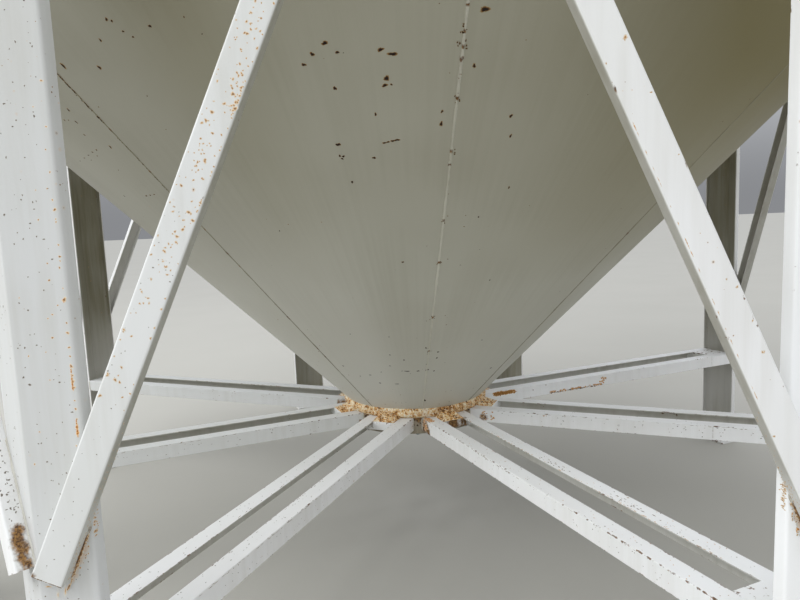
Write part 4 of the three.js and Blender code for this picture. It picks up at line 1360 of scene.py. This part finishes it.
def grain_band():
    """A closed outline in the corner, from the cone at 0.652 down over the collar's edge, carried round.
    Each point moves out by 2.2 mm of slow swelling and 1.4 mm at the size of a kernel."""
    outer = np.array([(0.3495, 0.632), (0.3640, 0.6500), (0.3685, 0.6480), (0.3730, 0.6420), (0.3755, 0.6340),
                      (0.3760, 0.6250), (0.3745, 0.6160), (0.3710, 0.6080), (0.3650, 0.6025), (0.3580, 0.6000),
                      (0.3500, 0.6000)])
    push = np.array([0, 0.3, 0.7, 1, 1, 1, 1, 1, 0.8, 0.4, 0])
    around = 900
    azimuth = np.arange(around)[:, None] * 2 * np.pi / around
    slow, fine = rough((around, 11), (61, 5), 7), rough((around, 11), (3, 1), 8)
    moved = push * (0.0022 * slow + 0.0014 * fine)
    rings = polar(outer[:, 0] + moved * 0.8, azimuth, outer[:, 1] + moved * 0.5)
    front = np.degrees(azimuth)
    cream = 0.45 * np.exp(-((front - 7.0) / 8.0) ** 2)
    dark = 0.25 * np.exp(-((front - 24.0) / 7.0) ** 2)
    return carried(rings, closed=True), np.clip(0.45 + 0.30 * fine + 0.1 * slow + cream - dark, 0, 1).ravel()


def heap(azimuth, reach, lift, seed):
    """A heap between the angles: its height falls in a straight slope from the cone to the shelf's end,
    rounded off at the sides, and roughened at the size of a kernel. It is closed by a flat underside."""
    half = FLANGE_HALF + 0.004
    x, y = np.meshgrid(stations(-half, half, 0.003), stations(HEAP_START, reach, 0.003), indexing="ij")
    fine, slow = rough(x.shape, (3, 3), seed), rough(x.shape, (13, 13), seed + 1)
    edge = np.clip(1 - np.abs(x / half) ** 4, 0, 1)
    t = np.clip((y - HEAP_START) / (reach - HEAP_START - 0.022 * (x / half) ** 2), 0, 1)
    z = SPOKE_TOP + 0.0005 + edge * (lift * (1 - t) ** 1.1 + 0.0035 * (1 - t ** 8) + 0.0025 * slow * (1 - t)
                                     + 0.0012 * fine)
    top, underside = xyz(x, -y, np.maximum(z, SPOKE_TOP + 0.0006)), xyz(x, -y, SPOKE_TOP + 0.0002)
    tone = 0.42 + 0.30 * fine - 0.12 * (seed == DULL_HEAP)
    return (swung(carried(np.concatenate([top, underside[:, ::-1]], 1)), azimuth),
            np.clip(np.concatenate([tone, tone[:, ::-1]], 1), 0, 1).ravel())


DULL_HEAP = 23
heaps = [grain_band()]
for number in range(1, BAYS + 1):
    reach = {1: 0.455, 8: 0.441, 2: 0.44, 7: 0.44}.get(number, 0.43)
    heaps.append(heap(leg_azimuth(number), reach, 0.034, 20 + 3 * number))
parts, tones = zip(*heaps)
piece("caked_grain_bed", parts, GRAIN, extra={"tone": np.concatenate(tones)}, weighted=False)


def kernel_shape():
    """A kernel: an ellipsoid of 4 rings by 6 points with a small flat on both ends."""
    v, u = np.meshgrid(np.linspace(0.22, np.pi - 0.22, 4), np.arange(6) * np.pi / 3, indexing="ij")
    return xyz(np.cos(v), np.sin(v) * np.cos(u), np.sin(v) * np.sin(u))


def scattered(middles, seed):
    """Kernels at places: each turned by a chance angle about the upright and one about its side, and
    stretched to 6 by 3 by 2.6 mm."""
    own = np.random.default_rng(seed)
    count = len(middles)
    shape = kernel_shape().reshape(-1, 3)
    sizes = own.uniform(0.8, 1.2, (count, 1, 1)) * np.array([0.0031, 0.0017, 0.0014])
    a, b = own.uniform(0, 2 * np.pi, count), own.normal(0, 0.5, count)
    one, none = np.ones(count), np.zeros(count)
    turned_round = np.array([[np.cos(a), -np.sin(a), none], [np.sin(a), np.cos(a), none],
                             [none, none, one]])
    tipped = np.array([[np.cos(b), none, np.sin(b)], [none, one, none], [-np.sin(b), none, np.cos(b)]])
    both = np.einsum("ijn,jkn->nik", turned_round, tipped)
    points = np.einsum("nij,nkj->nki", both, shape * sizes) + middles[:, None]
    starts = np.arange(count)[:, None, None] * len(shape)
    faces = [(group[None] + starts).reshape(-1, group.shape[1]) for group in carried(kernel_shape())["faces"]]
    tone = np.repeat(np.clip(own.normal(0.5, 0.3, count), 0, 1), len(shape))
    return {"points": points.reshape(-1, 3), "faces": faces, "edge": np.zeros(count * len(shape))}, tone


own = np.random.default_rng(5)
count = 2600
azimuth = own.uniform(0, 2 * np.pi, count)
t = own.beta(1.4, 1.1, count)
places = [polar(0.3685 + 0.010 * np.sin(np.pi * t) + 0.002 * (1 - t), azimuth, 0.650 - 0.046 * t)]
for number in range(1, BAYS + 1):
    n = 260 if number in (1, 8) else 170
    x, t = own.uniform(-0.054, 0.054, n), own.uniform(0, 1.0, n)
    y = 0.365 + (0.085 if number == 1 else 0.075) * t
    rise = 0.036 * np.clip(1 - (y - HEAP_START) / 0.093, 0, 1) * (1 - np.abs(x / 0.057) ** 4)
    places.append(turn(xyz(x, -y, SPOKE_TOP + 0.002 + rise), leg_azimuth(number)))
loose, tone = scattered(np.concatenate(places), 6)
piece("loose_kernels", [loose], GRAIN, extra={"tone": tone}, weighted=False)

# %% [markdown]
# ## Floor and light
#
# The stage is a plain pale floor under a soft sky that is brighter high up. Two very large soft lights on
# the left give the left faces their extra brightness, and the floor sends light up under the cone.

# %% Floor and light
FLOOR_HALF, HORIZON, ZENITH = 90, 0.27, 1.42

floor_mesh = bpy.data.meshes.new("pale_floor")
corners = [(x * FLOOR_HALF, y * FLOOR_HALF, 0) for x, y in ((-1, -1), (1, -1), (1, 1), (-1, 1))]
floor_mesh.from_pydata(corners, [], [(0, 1, 2, 3)])
floor = shown("pale_floor", floor_mesh)
pale, tree, place = new_finish("pale_floor")
finished(pale, {"Base Color": mix(tree, noise(tree, place, 0.8, 4), "#a6a49c", "#adaba3"), "Roughness": 0.9})
floor_mesh.materials.append(pale)

sky = bpy.data.worlds.new("bright_overcast")
sky.use_nodes = True
tree = sky.node_tree
height = add(tree, "SeparateXYZ", {"Vector": add(tree, "TexCoord").outputs["Generated"]}).outputs[2]
level = ranged(tree, height, 0, 0.5, HORIZON, ZENITH, smooth=True)
put(tree, tree.nodes["Background"], {"Color": "#f6f9ff", "Strength": level})
bpy.context.scene.world = sky


def soft_light(name, place, aim, width, power, colour):
    """A square area light, turned so that it looks at the aim."""
    data = bpy.data.lights.new(name, "AREA")
    data.shape, data.size, data.energy, data.color = "SQUARE", width, power, linear(colour)[:3]
    x, y, z = np.array(aim, float) - np.array(place, float)
    shown(name, data).matrix_world = aimed(place, np.arctan2(x, y), np.arctan2(z, hypot(x, y)))


soft_light("large_high_light", (-6.2, -8.8, 13.0), (0, 0, 1.2), 9.0, 800, "#fbfdff")
soft_light("left_fill_light", (-11.7, -3.1, 8.0), (0, 0, 1.0), 6.0, 700, "#fbfdff")
bpy.context.scene.view_settings.view_transform = "Standard"
print("sky strength:", HORIZON, ZENITH)
